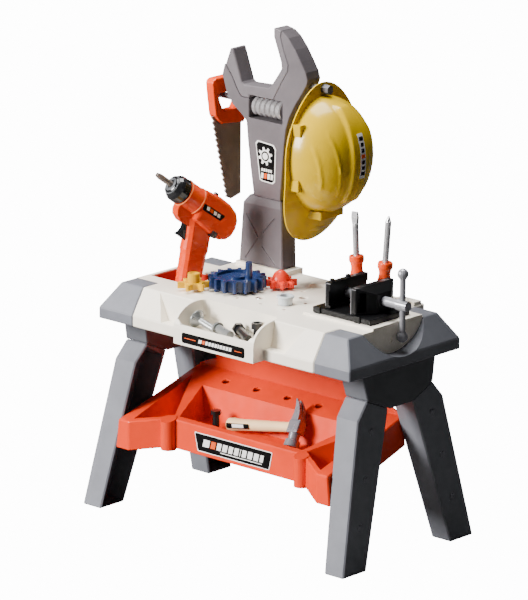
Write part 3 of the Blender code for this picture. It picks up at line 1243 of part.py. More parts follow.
def make_hammer(handle_plastic, head_plastic):
    """Claw hammer lying in the tray: the handle's butt on the floor, the head against the back ledge."""
    butt = Vector((*HAMMER_BUTT, rim_z(HAMMER_BUTT[1], TRAY_DEEP) + 0.0135))
    middle = Vector((*HAMMER_MID, rim_z(HAMMER_MID[1], HAMMER_SUNK)))
    ahead = (middle - butt).normalized()
    strike = Vector((0.20, -0.55, -0.81))
    strike = (strike - ahead * strike.dot(ahead)).normalized()
    across = strike.cross(ahead)
    frame = Matrix.Translation(middle) @ Matrix((ahead, across, strike)).transposed().to_4x4()
    long = (middle - butt).length
    # own frame: X along the handle to the head, Z towards the striking face
    profile = [(0.0080, 0.0), (0.0115, 0.02), (0.0120, 0.08), (0.0104, 0.20), (0.0100, 0.40),
               (0.0092, 0.70), (0.0086, 1.0)]
    handle = add("hammer_handle", lathe_along(-long, 0.0060, profile, 20), handle_plastic)
    head = loft([[(-0.0125, -0.0095, -0.0120), (0.0125, -0.0095, -0.0120), (0.0125, 0.0095, -0.0120),
                  (-0.0125, 0.0095, -0.0120)],
                 [(-0.0125, -0.0110, 0.0120), (0.0125, -0.0110, 0.0120), (0.0125, 0.0110, 0.0120),
                  (-0.0125, 0.0110, 0.0120)]])
    head = add("hammer_head", head, head_plastic)
    soften(head, 0.0025, 2)
    combine(head, rod((0, 0, 0.008), (0, 0, 0.026), 0.0100, 24, 0.0095), "UNION")
    combine(head, rod((0, 0, 0.024), (0, 0, 0.0365), 0.0130, 24, 0.0140), "UNION")
    for side in (-1, 1):
        claw = loft([claw_ring(side, 0.0, -0.010, 0.0105, 0.0160),
                     claw_ring(side, 0.0, -0.024, 0.0090, 0.0120),
                     claw_ring(side, -0.004, -0.038, 0.0060, 0.0080),
                     claw_ring(side, -0.011, -0.050, 0.0040, 0.0030)])
        combine(head, claw, "UNION")
    combine(head, rod((-0.05, 0, 0), (0.0065, 0, 0), 0.0090 + SEAT, 20))
    for piece in (handle, head):
        piece.data.transform(frame)


def claw_ring(side, back, height, width, thick):
    """One ring of a claw tine; the tines part as the width grows towards the tip."""
    near = side * (0.0004 + max(0.0, -height - 0.016) * 0.085)
    far = near + side * width
    return [(back - thick / 2, near, height), (back + thick / 2, near, height),
            (back + thick / 2, far, height), (back - thick / 2, far, height)]


# Loose fasteners -----------------------------------------------------------------------------------------
def lying(name, start, end, head, shank, lip, profile, steps, material, recess):
    """A screw or bolt lying on the bin floor, head at start, resting on head and shank."""
    reach = (Vector(end) - Vector(start)).length
    tilt = math.atan2(head - shank, reach - lip)
    floor = BIN_FLOOR_Z + 2 * SEAT
    place = Vector((*start, floor + head * math.cos(tilt) + lip * math.sin(tilt)))
    turn = math.atan2(end[1] - start[1], end[0] - start[0])
    matrix = Matrix.Translation(place) @ Matrix.Rotation(turn, 4, "Z") @ Matrix.Rotation(tilt, 4, "Y")
    long = reach / math.cos(tilt)
    points = [(radius, along if along >= 0 else long) for radius, along in profile]
    shape = lathe([(0, points[0][1])] + points + [(0, points[-1][1])], 24)
    if steps == 6:
        shape = rod((0, 0, -0.0035), (0, 0, 0.0045), head / math.cos(math.radians(30)), 6, spin=0.5)
    made = add(name, shape, material)
    if steps == 6:
        combine(made, rod((0, 0, 0.002), (0, 0, long), shank, 20), "UNION")
    for cut in recess:
        combine(made, cut)
    made.data.transform(matrix @ Matrix.Rotation(math.radians(90), 4, "Y"))
    return made


def make_fasteners(colors):
    """Screws and bolts in the bin, a bolt in the tray and the bush on the table."""
    slot = box((-0.02, -0.0016, -0.01), (0.02, 0.0016, 0.0012))
    lying("countersunk_screw", (-0.0720, BIN_FRONT + 0.0405), (-0.0290, BIN_FRONT + 0.0380), 0.0160,
          0.0060, 0.0022,
          [(0.0152, 0.0), (0.0160, 0.0010), (0.0160, 0.0022), (0.0060, 0.0120), (0.0060, -1)], 24,
          colors["countersunk_screw"], [slot])
    bars = [box((-0.0066, -0.0016, -0.01), (0.0066, 0.0016, 0.0026)),
            box((-0.0016, -0.0066, -0.01), (0.0016, 0.0066, 0.0026))]
    lying("cross_bolt", (-0.0198, BIN_FRONT + 0.0339), (0.0201, BIN_FRONT + 0.0247), 0.0110, 0.0076, 0.0060,
          [(0.0090, 0.0), (0.0110, 0.0022), (0.0110, 0.0060), (0.0076, 0.0064), (0.0076, -1)], 24,
          colors["cross_bolt"], bars)
    lying("hex_bolt", (0.0088, BIN_FRONT + 0.0580), (0.0560, BIN_FRONT + 0.0308), 0.0095, 0.0070, 0.0045,
          [(0.0070, 0.0), (0.0070, -1)], 6, colors["hex_bolt"], [])
    foot = BIN_FLOOR_Z + SEAT
    x, y = 0.0480, BIN_BACK - 0.0110
    stand = add("standing_bolt", rod((x, y, foot + 0.0180), (x, y, foot + 0.0280), 0.0100, 6),
                colors["standing_bolt"])
    combine(stand, rod((x, y, foot), (x, y, foot + 0.0200), 0.0060, 20), "UNION")
    combine(stand, rod((x, y, foot + 0.0250), (x, y, foot + 0.0400), 0.0062, 20))
    x, y = -0.1060, -0.0385
    low = rim_z(y, TRAY_DEEP) + 0.0030
    black = add("tray_bolt", rod((x, y, low), (x, y, low + 0.0320), 0.0060, 20, 0.0056),
                colors["tray_bolt"])
    combine(black, rod((x, y, low + 0.0290), (x, y, low + 0.0360), 0.0096, 6), "UNION")
    bush = [(0.0098, 0.0), (0.0122, 0.0), (0.0122, 0.0115), (0.0152, 0.0122), (0.0152, 0.0145),
            (0.0140, 0.0155),
            (0.0098, 0.0155)]
    shape = ring_lathe(bush, 32)
    bmesh.ops.translate(shape, verts=shape.verts, vec=(BUSH_X, BUSH_Y, TOP_HEIGHT + SEAT))
    add("loose_bush", shape, colors["loose_bush"])


# Colours ---------------------------------------------------------------------------------------------------
GREY = (0.27, 0.28, 0.31)
CREAM = (0.87, 0.80, 0.68)
ORANGE = (0.80, 0.10, 0.025)
TRAY_ORANGE = (0.76, 0.12, 0.030)
SILVER = (0.36, 0.34, 0.36)
CHROME = (0.55, 0.55, 0.57)
BLACK = (0.012, 0.012, 0.014)
YELLOW = (0.85, 0.62, 0.04)
BLUE = (0.025, 0.075, 0.30)
BIT_GREY = (0.16, 0.13, 0.11)
WOOD = (0.87, 0.64, 0.43)


def center_on_floor():
    """Bring the middle of the whole assembly over the origin, feet on the floor."""
    bpy.context.view_layer.update()
    corners = [item.matrix_world @ vertex.co for item in bpy.data.objects for vertex in item.data.vertices]
    middle_x = (min(v.x for v in corners) + max(v.x for v in corners)) / 2
    middle_y = (min(v.y for v in corners) + max(v.y for v in corners)) / 2
    low = min(v.z for v in corners)
    for item in bpy.data.objects:
        item.location = item.location - Vector((middle_x, middle_y, low))
    bpy.context.view_layer.update()


clear_scene()
for end_name, end_side in (("left", -1), ("right", 1)):
    for row_name, row_side in (("front", -1), ("back", 1)):
        leg_name = "leg_" + row_name + "_" + end_name
        make_leg(leg_name, end_side, row_side, plastic(leg_name, GREY))
    make_trestle_head("trestle_head_" + end_name, end_side, plastic("trestle_head_" + end_name, GREY))
    make_end_cap("end_cap_" + end_name, end_side, plastic("end_cap_" + end_name, GREY))
make_top_board(plastic("top_board", CREAM))
make_holster(plastic("drill_holster", TRAY_ORANGE))
make_tray(plastic("lower_tray", TRAY_ORANGE))
make_plate("bin_label", [(-0.067, SKIRT_Z + 0.005), (0.0755, SKIRT_Z + 0.005), (0.0755, SKIRT_Z + 0.023),
                         (-0.067, SKIRT_Z + 0.023)], BIN_FRONT, 0.0006, plastic("bin_label", BLACK))
make_plate("tray_label", [(-0.095, TRAY_Z - 0.010), (-0.088, TRAY_Z - 0.043), (0.077, TRAY_Z - 0.043),
                          (0.084, TRAY_Z - 0.010)], TRAY_Y + 0.0034, 0.0006, plastic("tray_label", BLACK))
make_pedestal(plastic("wrench_pedestal", CREAM))
make_wrench_body(plastic("wrench_body", SILVER, 0.38, 0.3))
make_jaw_liner(plastic("wrench_jaw_liner", SILVER, 0.38, 0.3))
make_worm(plastic("worm_roller", CHROME, 0.22, 0.9))
make_plate("wrench_badge", above_top([(-0.1535, 0.2283), (-0.1422, 0.1583), (-0.1079, 0.1562),
                                      (-0.1064, 0.2250)]),
           WALL_FRONT, 0.0006, plastic("wrench_badge", BLACK))
make_pegs(plastic("worm_pin", CHROME, 0.3, 0.9), plastic("saw_peg", GREY), plastic("helmet_peg", GREY))
make_saw(plastic("saw_handle", ORANGE), plastic("saw_blade", BIT_GREY))
make_helmet(plastic("helmet_shell", YELLOW))
make_gears(plastic("gear_blue", BLUE), plastic("gear_yellow", YELLOW), plastic("gear_orange", ORANGE),
           {gear: plastic(gear.replace("gear", "axle"), CREAM) for gear in ("gear_blue", "gear_yellow",
                                                                            "gear_orange")})
make_vise(plastic("vise_base", BLACK), plastic("vise_fixed_jaw", BLACK), plastic("vise_moving_jaw", BLACK),
          plastic("vise_screw", CHROME), plastic("vise_tommy_bar", CHROME))
DRILL_COLORS = {"drill_body_left": ORANGE, "drill_body_right": ORANGE, "drill_chuck": BLACK,
                "drill_bit": BIT_GREY,
                "drill_trigger": BLACK, "drill_direction_switch": BLACK,
                "drill_top_stud": BLACK}
make_drill({name: plastic(name, color) for name, color in DRILL_COLORS.items()})
make_driver("flat", FLAT_DRIVER_X, math.radians(-3.4), plastic("driver_flat_handle", ORANGE),
            plastic("driver_flat_shaft", CHROME))
make_driver("cross", CROSS_DRIVER_X, math.radians(4.3), plastic("driver_cross_handle", ORANGE),
            plastic("driver_cross_shaft", CHROME))
make_hammer(plastic("hammer_handle", WOOD), plastic("hammer_head", SILVER))
LOOSE_COLORS = {"countersunk_screw": SILVER, "cross_bolt": SILVER, "hex_bolt": BLACK,
                "standing_bolt": BLACK,
                "tray_bolt": BLACK, "loose_bush": CHROME}
make_fasteners({name: plastic(name, color) for name, color in LOOSE_COLORS.items()})
center_on_floor()
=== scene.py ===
import json
import math

import bmesh
import bpy
from mathutils import Matrix, Vector

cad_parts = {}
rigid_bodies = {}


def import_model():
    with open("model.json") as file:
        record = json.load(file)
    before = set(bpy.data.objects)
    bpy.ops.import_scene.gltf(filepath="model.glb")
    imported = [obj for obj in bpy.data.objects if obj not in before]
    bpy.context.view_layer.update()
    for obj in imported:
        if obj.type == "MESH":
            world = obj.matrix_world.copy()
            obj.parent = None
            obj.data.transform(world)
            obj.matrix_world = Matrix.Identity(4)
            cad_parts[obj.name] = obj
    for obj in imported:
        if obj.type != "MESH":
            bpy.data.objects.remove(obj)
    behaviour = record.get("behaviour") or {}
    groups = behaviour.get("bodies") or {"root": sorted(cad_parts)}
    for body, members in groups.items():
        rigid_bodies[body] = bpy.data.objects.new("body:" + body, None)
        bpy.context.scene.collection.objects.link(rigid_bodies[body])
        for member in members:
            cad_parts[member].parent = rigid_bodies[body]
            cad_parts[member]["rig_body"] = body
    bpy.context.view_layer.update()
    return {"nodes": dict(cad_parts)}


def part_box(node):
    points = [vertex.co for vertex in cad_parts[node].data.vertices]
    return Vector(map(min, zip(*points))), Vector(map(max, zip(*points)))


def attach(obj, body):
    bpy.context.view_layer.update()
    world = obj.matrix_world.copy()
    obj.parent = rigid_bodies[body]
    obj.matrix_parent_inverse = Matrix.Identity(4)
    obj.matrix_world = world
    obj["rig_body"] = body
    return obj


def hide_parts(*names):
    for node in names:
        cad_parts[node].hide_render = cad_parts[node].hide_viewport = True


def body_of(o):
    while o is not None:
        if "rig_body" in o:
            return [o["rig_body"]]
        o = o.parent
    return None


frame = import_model()
nodes = frame["nodes"]


# Grey trestles, end caps and wall pegs ---------------------------------------------------
# Injection-moulded polypropylene with a fine spark-eroded grain. The legs plug into the
# trestle heads and the caps snap over the ends of the table.
def moulded(name, low, high, rough, pits=1500.0, depth=0.10, drift=14.0, metal=0.0,
            scuff=0.05, coat=0.0, shine=0.3):
    """Moulded plastic: slow colour drift between two tones, grain, and handling wear in the gloss."""
    made = bpy.data.materials.new(name)
    made.use_nodes = True
    tree = made.node_tree
    shader = tree.nodes["Principled BSDF"]
    place = tree.nodes.new("ShaderNodeTexCoord")
    cloud = tree.nodes.new("ShaderNodeTexNoise")
    cloud.inputs["Scale"].default_value = drift
    cloud.inputs["Detail"].default_value = 4.0
    cloud.inputs["Roughness"].default_value = 0.6
    tree.links.new(place.outputs["Object"], cloud.inputs["Vector"])
    tones = tree.nodes.new("ShaderNodeValToRGB")
    tones.color_ramp.elements[0].position = 0.30
    tones.color_ramp.elements[0].color = (*low, 1.0)
    tones.color_ramp.elements[1].position = 0.70
    tones.color_ramp.elements[1].color = (*high, 1.0)
    tree.links.new(cloud.outputs["Fac"], tones.inputs["Fac"])
    tree.links.new(tones.outputs["Color"], shader.inputs["Base Color"])
    wear = tree.nodes.new("ShaderNodeTexNoise")
    wear.inputs["Scale"].default_value = 60.0
    wear.inputs["Detail"].default_value = 3.0
    stretch = tree.nodes.new("ShaderNodeMapping")
    stretch.inputs["Rotation"].default_value = (0.5, 0.3, 0.8)
    stretch.inputs["Scale"].default_value = (1.0, 0.18, 1.0)
    tree.links.new(place.outputs["Object"], stretch.inputs["Vector"])
    tree.links.new(stretch.outputs["Vector"], wear.inputs["Vector"])
    gloss = tree.nodes.new("ShaderNodeMapRange")
    gloss.inputs["From Min"].default_value = 0.35
    gloss.inputs["From Max"].default_value = 0.70
    gloss.inputs["To Min"].default_value = max(0.05, rough - scuff / 2)
    gloss.inputs["To Max"].default_value = rough + scuff
    tree.links.new(wear.outputs["Fac"], gloss.inputs["Value"])
    tree.links.new(gloss.outputs["Result"], shader.inputs["Roughness"])
    grain = tree.nodes.new("ShaderNodeTexNoise")
    grain.inputs["Scale"].default_value = pits
    grain.inputs["Detail"].default_value = 2.0
    tree.links.new(place.outputs["Object"], grain.inputs["Vector"])
    relief = tree.nodes.new("ShaderNodeBump")
    relief.inputs["Strength"].default_value = depth
    relief.inputs["Distance"].default_value = 0.0004
    tree.links.new(grain.outputs["Fac"], relief.inputs["Height"])
    tree.links.new(relief.outputs["Normal"], shader.inputs["Normal"])
    shader.inputs["Metallic"].default_value = metal
    shader.inputs["Coat Weight"].default_value = coat
    shader.inputs["Specular IOR Level"].default_value = shine
    return made


def tinted(name, tone, rough, spread=0.12, **more):
    """A moulded plastic whose two tones lie a little under and over one colour."""
    low = [channel * (1 - spread) for channel in tone]
    high = [min(1.0, channel * (1 + spread)) for channel in tone]
    return moulded(name, low, high, rough, **more)


def dress(name, tone, rough, **more):
    """Give a CAD node its finish."""
    nodes[name].data.materials.clear()
    nodes[name].data.materials.append(tinted(name, tone, rough, **more))


def piece(name, node, shape, material, smooth=30.0):
    """Add a mesh with the given material that moves with a CAD node's body."""
    bmesh.ops.recalc_face_normals(shape, faces=shape.faces)
    mesh = bpy.data.meshes.new(name)
    shape.to_mesh(mesh)
    shape.free()
    for face in mesh.polygons:
        face.use_smooth = True
    mesh.set_sharp_from_angle(angle=math.radians(smooth))
    mesh.materials.append(material)
    made = bpy.data.objects.new(name, mesh)
    bpy.context.scene.collection.objects.link(made)
    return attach(made, body_of(nodes[node])[0])


def middle(node):
    """The centre of a CAD node's box."""
    low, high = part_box(node)
    return (Vector(low) + Vector(high)) / 2


for leg in ("leg_front_left", "leg_front_right", "leg_back_left", "leg_back_right"):
    dress(leg, (0.165, 0.170, 0.194), 0.44)
for head in ("trestle_head_left", "trestle_head_right"):
    dress(head, (0.095, 0.098, 0.110), 0.46)
for cap in ("end_cap_left", "end_cap_right"):
    dress(cap, (0.150, 0.155, 0.178), 0.42)
for peg in ("saw_peg", "helmet_peg"):
    dress(peg, (0.22, 0.22, 0.24), 0.30, metal=0.6)


# Cream table top, pedestal and axles -------------------------------------------------------
# One thin-walled moulding with the bay, the bin and the pads in it; the grey pedestal stands
# on its plinth. Slightly warm white, satin, with faint grey handling marks.
CREAM = (0.93, 0.86, 0.74)
dress("top_board", CREAM, 0.36, spread=0.06, depth=0.06, drift=9.0)
dress("wrench_pedestal", (0.105, 0.090, 0.098), 0.42)
for axle in ("axle_blue", "axle_yellow", "axle_orange"):
    dress(axle, CREAM, 0.38, spread=0.06)


# Orange tool tray and drill pocket ----------------------------------------------------------
# Deep tray moulded in one piece, held by lugs in the legs, and its back wall's upper edge.
# Glossier than the trestles, with slow changes of tone.
dress("lower_tray", (0.72, 0.040, 0.005), 0.30, depth=0.05, drift=8.0)
low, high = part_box("lower_tray")
RIM_OVERLAP, RIM_RISE = 0.012, 0.013        # the back wall's upper edge: how far down and up
plate_low, plate_high = high[2] - RIM_OVERLAP, high[2] + RIM_RISE
shape = bmesh.new()
corners = [(-0.196, plate_low), (0.196, plate_low), (0.190, plate_high), (-0.190, plate_high)]
near = [shape.verts.new((x, high[1] - 0.0031, z)) for x, z in corners]
far = [shape.verts.new((x, high[1] - 0.0003, z)) for x, z in corners]
shape.faces.new(near)
shape.faces.new(far)
for index in range(4):
    shape.faces.new((near[index], near[(index + 1) % 4], far[(index + 1) % 4], far[index]))
bmesh.ops.bevel(shape, geom=shape.edges[:], offset=0.0006, segments=2, affect="EDGES")
piece("tray_back_rim", "lower_tray", shape, nodes["lower_tray"].data.materials[0])
dress("drill_holster", (0.52, 0.018, 0.006), 0.38)


# Tool wall: wrench body, jaw liner and roller ------------------------------------------------
# Silver-grey plastic column with a separate jaw moulding; the ribbed roller is plated.
dress("wrench_body", (0.145, 0.128, 0.137), 0.34, metal=0.25)
dress("wrench_jaw_liner", (0.190, 0.170, 0.182), 0.30, metal=0.3)
dress("worm_roller", (0.42, 0.40, 0.41), 0.20, depth=0.02, metal=0.45)
dress("worm_pin", (0.48, 0.48, 0.50), 0.25, metal=0.9)


# Labels -------------------------------------------------------------------------------------
# Printed foil stuck on raised plates: a black field, a pale border, and plain slanted blocks
# where such a toy carries lettering. The wall badge adds a cog.
INK = (0.0025, 0.0022, 0.0024)
PAPER = (0.88, 0.86, 0.84)
ACCENT = (0.80, 0.10, 0.010)
ink = tinted("label_ink", INK, 0.50, spread=0.3, shine=0.06)
paper = tinted("label_paper", PAPER, 0.34, spread=0.05)
accent = tinted("label_accent", ACCENT, 0.34)


def rounded(corners, radius, steps=4):
    """The corners of a flat outline, each turned into a short curve."""
    outline = []
    for index, corner in enumerate(corners):
        corner = Vector(corner)
        before = Vector(corners[index - 1]) - corner
        after = Vector(corners[(index + 1) % len(corners)]) - corner
        start = corner + before.normalized() * radius
        end = corner + after.normalized() * radius
        for step in range(steps + 1):
            share = step / steps
            outline.append((1 - share) ** 2 * start + 2 * share * (1 - share) * corner
                           + share ** 2 * end)
    return outline


def slab(shape, outline, front, thick):
    """Add an upright plate to a shape: an outline in X and Z, and where its face is."""
    near = [shape.verts.new((x, front, z)) for x, z in outline]
    far = [shape.verts.new((x, front + thick, z)) for x, z in outline]
    shape.faces.new(near)
    shape.faces.new(far)
    for index in range(len(near)):
        after = (index + 1) % len(near)
        shape.faces.new((near[index], near[after], far[after], far[index]))


def plate(name, node, outline, front, thick, material):
    """One upright plate as a piece."""
    shape = bmesh.new()
    slab(shape, outline, front, thick)
    return piece(name, node, shape, material)


def inset(corners, margin):
    """The corners moved towards the middle by a margin on each side."""
    center = sum((Vector(corner) for corner in corners), Vector((0, 0))) / len(corners)
    return [Vector((x - math.copysign(margin, x - center.x), z - math.copysign(margin, z - center.y)))
            for x, z in corners]


def block_row(name, node, left, right, low, high, front, widths, colored=(), slant=0.25):
    """A row of slanted blocks of given relative widths; those in colored take the accent."""
    gap = 0.35
    unit = (right - left) / (sum(widths) + gap * (len(widths) - 1))
    for group, material in (("pale", paper), ("accent", accent)):
        shape = bmesh.new()
        x = left
        for index, width in enumerate(widths):
            wide = unit * width
            if (index in colored) == (group == "accent"):
                lean = (high - low) * slant
                slab(shape, [(x, low), (x + wide, low), (x + wide + lean, high), (x + lean, high)],
                     front - 0.0002, 0.0003)
            x += wide + unit * gap
        if shape.verts:
            piece(f"{name}_{group}", node, shape, material)
        else:
            shape.free()


LABEL_THICK = 0.0004
low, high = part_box("bin_label")
bin_front = low[1]
bin_face = rounded([(low[0], low[2]), (high[0], low[2]), (high[0], high[2]), (low[0], high[2])], 0.004)
field = plate("bin_label_field", "bin_label", bin_face, bin_front, high[1] - low[1], ink)
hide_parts("bin_label")
block_row("bin_label_marks", "bin_label", low[0] + 0.038, high[0] - 0.030, low[2] + 0.0062,
          high[2] - 0.0055,
          bin_front, (1.3, 1.0, 1.0, 1.0, 1.0, 1.0, 0.5, 1.0, 1.0, 1.0, 1.0), (1,))
level = (low[2] + high[2]) / 2
for side, start, end in (("left", low[0] + 0.006, low[0] + 0.032),
                         ("right", high[0] - 0.022, high[0] - 0.006)):
    line = [(start, level - 0.0006), (end, level - 0.0006), (end, level + 0.0006),
            (start, level + 0.0006)]
    plate(f"bin_label_line_{side}", "bin_label", line, bin_front - 0.0002, 0.0003, accent)

low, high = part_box("tray_label")
tray_front = low[1]
slope = 0.0070
corners = [(low[0] + slope, low[2]), (high[0] - slope, low[2]), (high[0], high[2]), (low[0], high[2])]
border = plate("tray_label_border", "tray_label", rounded(corners, 0.003), tray_front,
               high[1] - low[1], paper)
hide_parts("tray_label")
plate("tray_label_field", "tray_label", rounded(inset(corners, 0.0016), 0.002), tray_front - 0.0002,
      LABEL_THICK, ink)
block_row("tray_label_marks", "tray_label", low[0] + 0.019, high[0] - 0.022, low[2] + 0.0105,
          high[2] - 0.0095,
          tray_front - 0.0002, (1.5, 1.1, 1.0, 1.1, 1.0, 1.0, 0.15, 1.0, 1.1, 1.1, 0.8), (1,))
plate("tray_label_line", "tray_label",
      [(low[0] + 0.060, low[2] + 0.0065), (high[0] - 0.024, low[2] + 0.0065),
       (high[0] - 0.0235, low[2] + 0.0080), (low[0] + 0.0605, low[2] + 0.0080)],
      tray_front - 0.0004, 0.0003, paper)

low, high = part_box("wrench_badge")
badge_front = low[1]
badge = [(low[0] + 0.0103, low[2] + 0.0031), (low[0] + 0.0153, low[2] + 0.0012),
         (high[0] - 0.0065, low[2]),
         (high[0] - 0.0018, low[2] + 0.0040), (high[0], high[2] - 0.0095),
         (high[0] - 0.0055, high[2] - 0.0026),
         (low[0] + 0.0045, high[2]), (low[0], high[2] - 0.0055)]
border = plate("wrench_badge_border", "wrench_badge", rounded(badge, 0.0012), badge_front,
               high[1] - low[1], paper)
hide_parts("wrench_badge")
plate("wrench_badge_field", "wrench_badge", rounded(inset(badge, 0.0022), 0.0012), badge_front - 0.0003,
      LABEL_THICK, ink)


def cog(center, root, tip, teeth=8):
    """The outline of a cog with straight-sided teeth."""
    outline = []
    for tooth in range(teeth):
        for share, radius in ((-0.30, root), (-0.17, tip), (0.17, tip), (0.30, root)):
            angle = 2 * math.pi * (tooth + share) / teeth + 0.30
            outline.append((center[0] + radius * math.cos(angle), center[1] + radius * math.sin(angle)))
    return outline


def disc(center, radius, steps=28):
    """A round outline."""
    return [(center[0] + radius * math.cos(2 * math.pi * step / steps),
             center[1] + radius * math.sin(2 * math.pi * step / steps)) for step in range(steps)]


hub = ((low[0] + high[0]) / 2 - 0.0005, high[2] - 0.0255)
plate("wrench_badge_cog", "wrench_badge", cog(hub, 0.0112, 0.0162), badge_front - 0.0005, 0.0003, paper)
plate("wrench_badge_ring", "wrench_badge", disc(hub, 0.0088), badge_front - 0.0007, 0.0003, ink)
plate("wrench_badge_core", "wrench_badge", disc(hub, 0.0060), badge_front - 0.0009, 0.0003, paper)
block_row("wrench_badge_small", "wrench_badge", low[0] + 0.0140, high[0] - 0.0090, low[2] + 0.0195,
          low[2] + 0.0245, badge_front - 0.0003, (1, 1, 1, 1, 1), slant=0.1)
block_row("wrench_badge_large", "wrench_badge", low[0] + 0.0135, high[0] - 0.0065, low[2] + 0.0070,
          low[2] + 0.0165, badge_front - 0.0003, (1, 1.1, 1.1, 1), (1,), slant=0.1)


# Saw ------------------------------------------------------------------------------------------
# Orange handle with a grey-brown plastic blade clamped in its slot.
dress("saw_handle", (0.84, 0.060, 0.006), 0.30)
dress("saw_blade", (0.26, 0.21, 0.185), 0.36)


# Hard hat --------------------------------------------------------------------------------------
# Blow-moulded yellow shell hung by its brim: a raised band over the crown, two pressed ribs
# on each side, clips on the brim and a step over the visor. It stands for the CAD shell.
dress("helmet_shell", (0.60, 0.385, 0.001), 0.22)
yellow = tinted("helmet_yellow", (0.60, 0.385, 0.001), 0.24, spread=0.05, depth=0.02, coat=0.1)
low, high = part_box("helmet_shell")
HAT_THICK = 0.0025
BAND_TALL = 0.0048
HAT_HIGH, HAT_WIDE, HAT_LONG = 0.086, 0.085, 0.101
hat = Vector((high[0] - HAT_HIGH - 0.001, middle("wrench_body").y, middle("helmet_peg").z - 0.1125))
RIBS = [((-0.61, 0.53), (-0.50, 0.00), (-0.385, -0.62)), ((-0.85, 0.32), (-0.80, -0.05),
                                                          (-0.70, -0.48))]


def soft_step(value, start, end):
    """0 before start, 1 after end, smooth between."""
    share = min(1.0, max(0.0, (value - start) / (end - start)))
    return share * share * (3 - 2 * share)


def relief_at(across, along):
    """How far the shell stands out at a place given as shares of its width and length."""
    half = 0.21 * math.sqrt(max(0.0, 1 - along * along * 0.85))
    band = (1 - soft_step(abs(across), half, half + 0.07)) * (1 - soft_step(along, 0.84, 0.93))
    band *= 1 - soft_step(-along, 0.66, 0.80)
    tall = BAND_TALL * band
    for first, second, third in RIBS:
        share = min(1.0, max(0.0, (first[1] - along) / (first[1] - third[1])))
        pull = 2 * second[0] - (first[0] + third[0]) / 2
        path = (1 - share) ** 2 * first[0] + 2 * share * (1 - share) * pull + share ** 2 * third[0]
        fade = soft_step(along, third[1] - 0.04, third[1] + 0.10) * (1 - soft_step(along,
                                                                                   first[1] - 0.10,
                                                                                   first[1] + 0.04))
        drop = abs(across) + path
        tall += 0.0016 * fade * (soft_step(drop, -0.055, -0.005) - soft_step(drop, -0.004, 0.012))
    return tall


def on_dome(across, along, out=0.0):
    """A place on the shell's outside, raised by out along the dome's own direction."""
    deep = math.sqrt(max(0.0, 1 - across * across - along * along))
    outward = Vector((deep / HAT_HIGH, across / HAT_WIDE, along / HAT_LONG)).normalized()
    place = hat + Vector((HAT_HIGH * deep, HAT_WIDE * across, HAT_LONG * along))
    return place + outward * (relief_at(across, along) + out)


def brim_at(turn, share, under):
    """A place on the brim, from the dome's foot (0) to its edge (1)."""
    down = max(0.0, -math.sin(turn))
    up = max(0.0, math.sin(turn))
    reach = 0.0095 + 0.0470 * down ** 2.2 + 0.0135 * up ** 6
    place = hat + Vector((0, (HAT_WIDE + reach * share) * math.cos(turn),
                          (HAT_LONG + reach * share) * math.sin(turn)))
    place.x -= 0.0300 * down ** 2.5 * share ** 1.3 + (HAT_THICK if under else 0.0)
    return place


def hat_sheet(shape, under, around=144, rings=46, lips=6):
    """One side of the shell: rings from the crown to the brim's edge."""
    pole = hat + Vector((HAT_HIGH + BAND_TALL - (HAT_THICK if under else 0.0), 0, 0))
    rows = []
    for ring in range(1, rings + lips + 1):
        row = []
        for index in range(around):
            turn = 2 * math.pi * index / around
            if ring <= rings:
                lean = math.radians(90) * ring / rings
                place = on_dome(math.sin(lean) * math.cos(turn), math.sin(lean) * math.sin(turn),
                                -HAT_THICK if under else 0.0)
            else:
                place = brim_at(turn, (ring - rings) / lips, under)
            row.append(shape.verts.new(place))
        rows.append(row)
    first = shape.verts.new(pole)
    for index in range(around):
        shape.faces.new((first, rows[0][index], rows[0][(index + 1) % around]))
    for row, after in zip(rows, rows[1:]):
        for index in range(around):
            shape.faces.new((row[index], after[index], after[(index + 1) % around],
                             row[(index + 1) % around]))
    return rows[-1]


shape = bmesh.new()
edges = [hat_sheet(shape, under) for under in (False, True)]
for index in range(len(edges[0])):
    after = (index + 1) % len(edges[0])
    shape.faces.new((edges[0][index], edges[1][index], edges[1][after], edges[0][after]))
shell = piece("helmet_crown", "helmet_shell", shape, yellow, 50)
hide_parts("helmet_shell")


def hat_patch(name, across, along, out, thick, material, steps=12):
    """A thin strip that follows the dome between two pairs of shares."""
    shape = bmesh.new()
    layers = []
    for raise_by in (out, out - thick):
        grid = []
        for row in range(steps + 1):
            share = along[0] + (along[1] - along[0]) * row / steps
            grid.append([shape.verts.new(on_dome(across[0] + (across[1] - across[0]) * column / 4,
                                                 share, raise_by))
                         for column in range(5)])
        layers.append(grid)
    for grid in layers:
        for row, after in zip(grid, grid[1:]):
            for column in range(4):
                shape.faces.new((row[column], row[column + 1], after[column + 1], after[column]))
    rims = []
    for grid in layers:
        rims.append([row[0] for row in grid] + grid[-1][1:-1] + [row[4] for row in reversed(grid)]
                    + list(reversed(grid[0][1:-1])))
    for index in range(len(rims[0])):
        after = (index + 1) % len(rims[0])
        shape.faces.new((rims[0][index], rims[0][after], rims[1][after], rims[1][index]))
    return piece(name, "helmet_shell", shape, material)


hat_patch("helmet_label_border", (-0.070, 0.070), (0.46, -0.27), 0.0008, 0.0010, paper, 20)
for index in range(7):
    start = 0.41 - index * 0.095
    wide = 0.038 if index % 3 else 0.052
    hat_patch(f"helmet_label_mark_{index + 1}", (-wide, wide), (start, start - 0.060), 0.0012, 0.0006,
              accent if index == 3 else ink, 3)


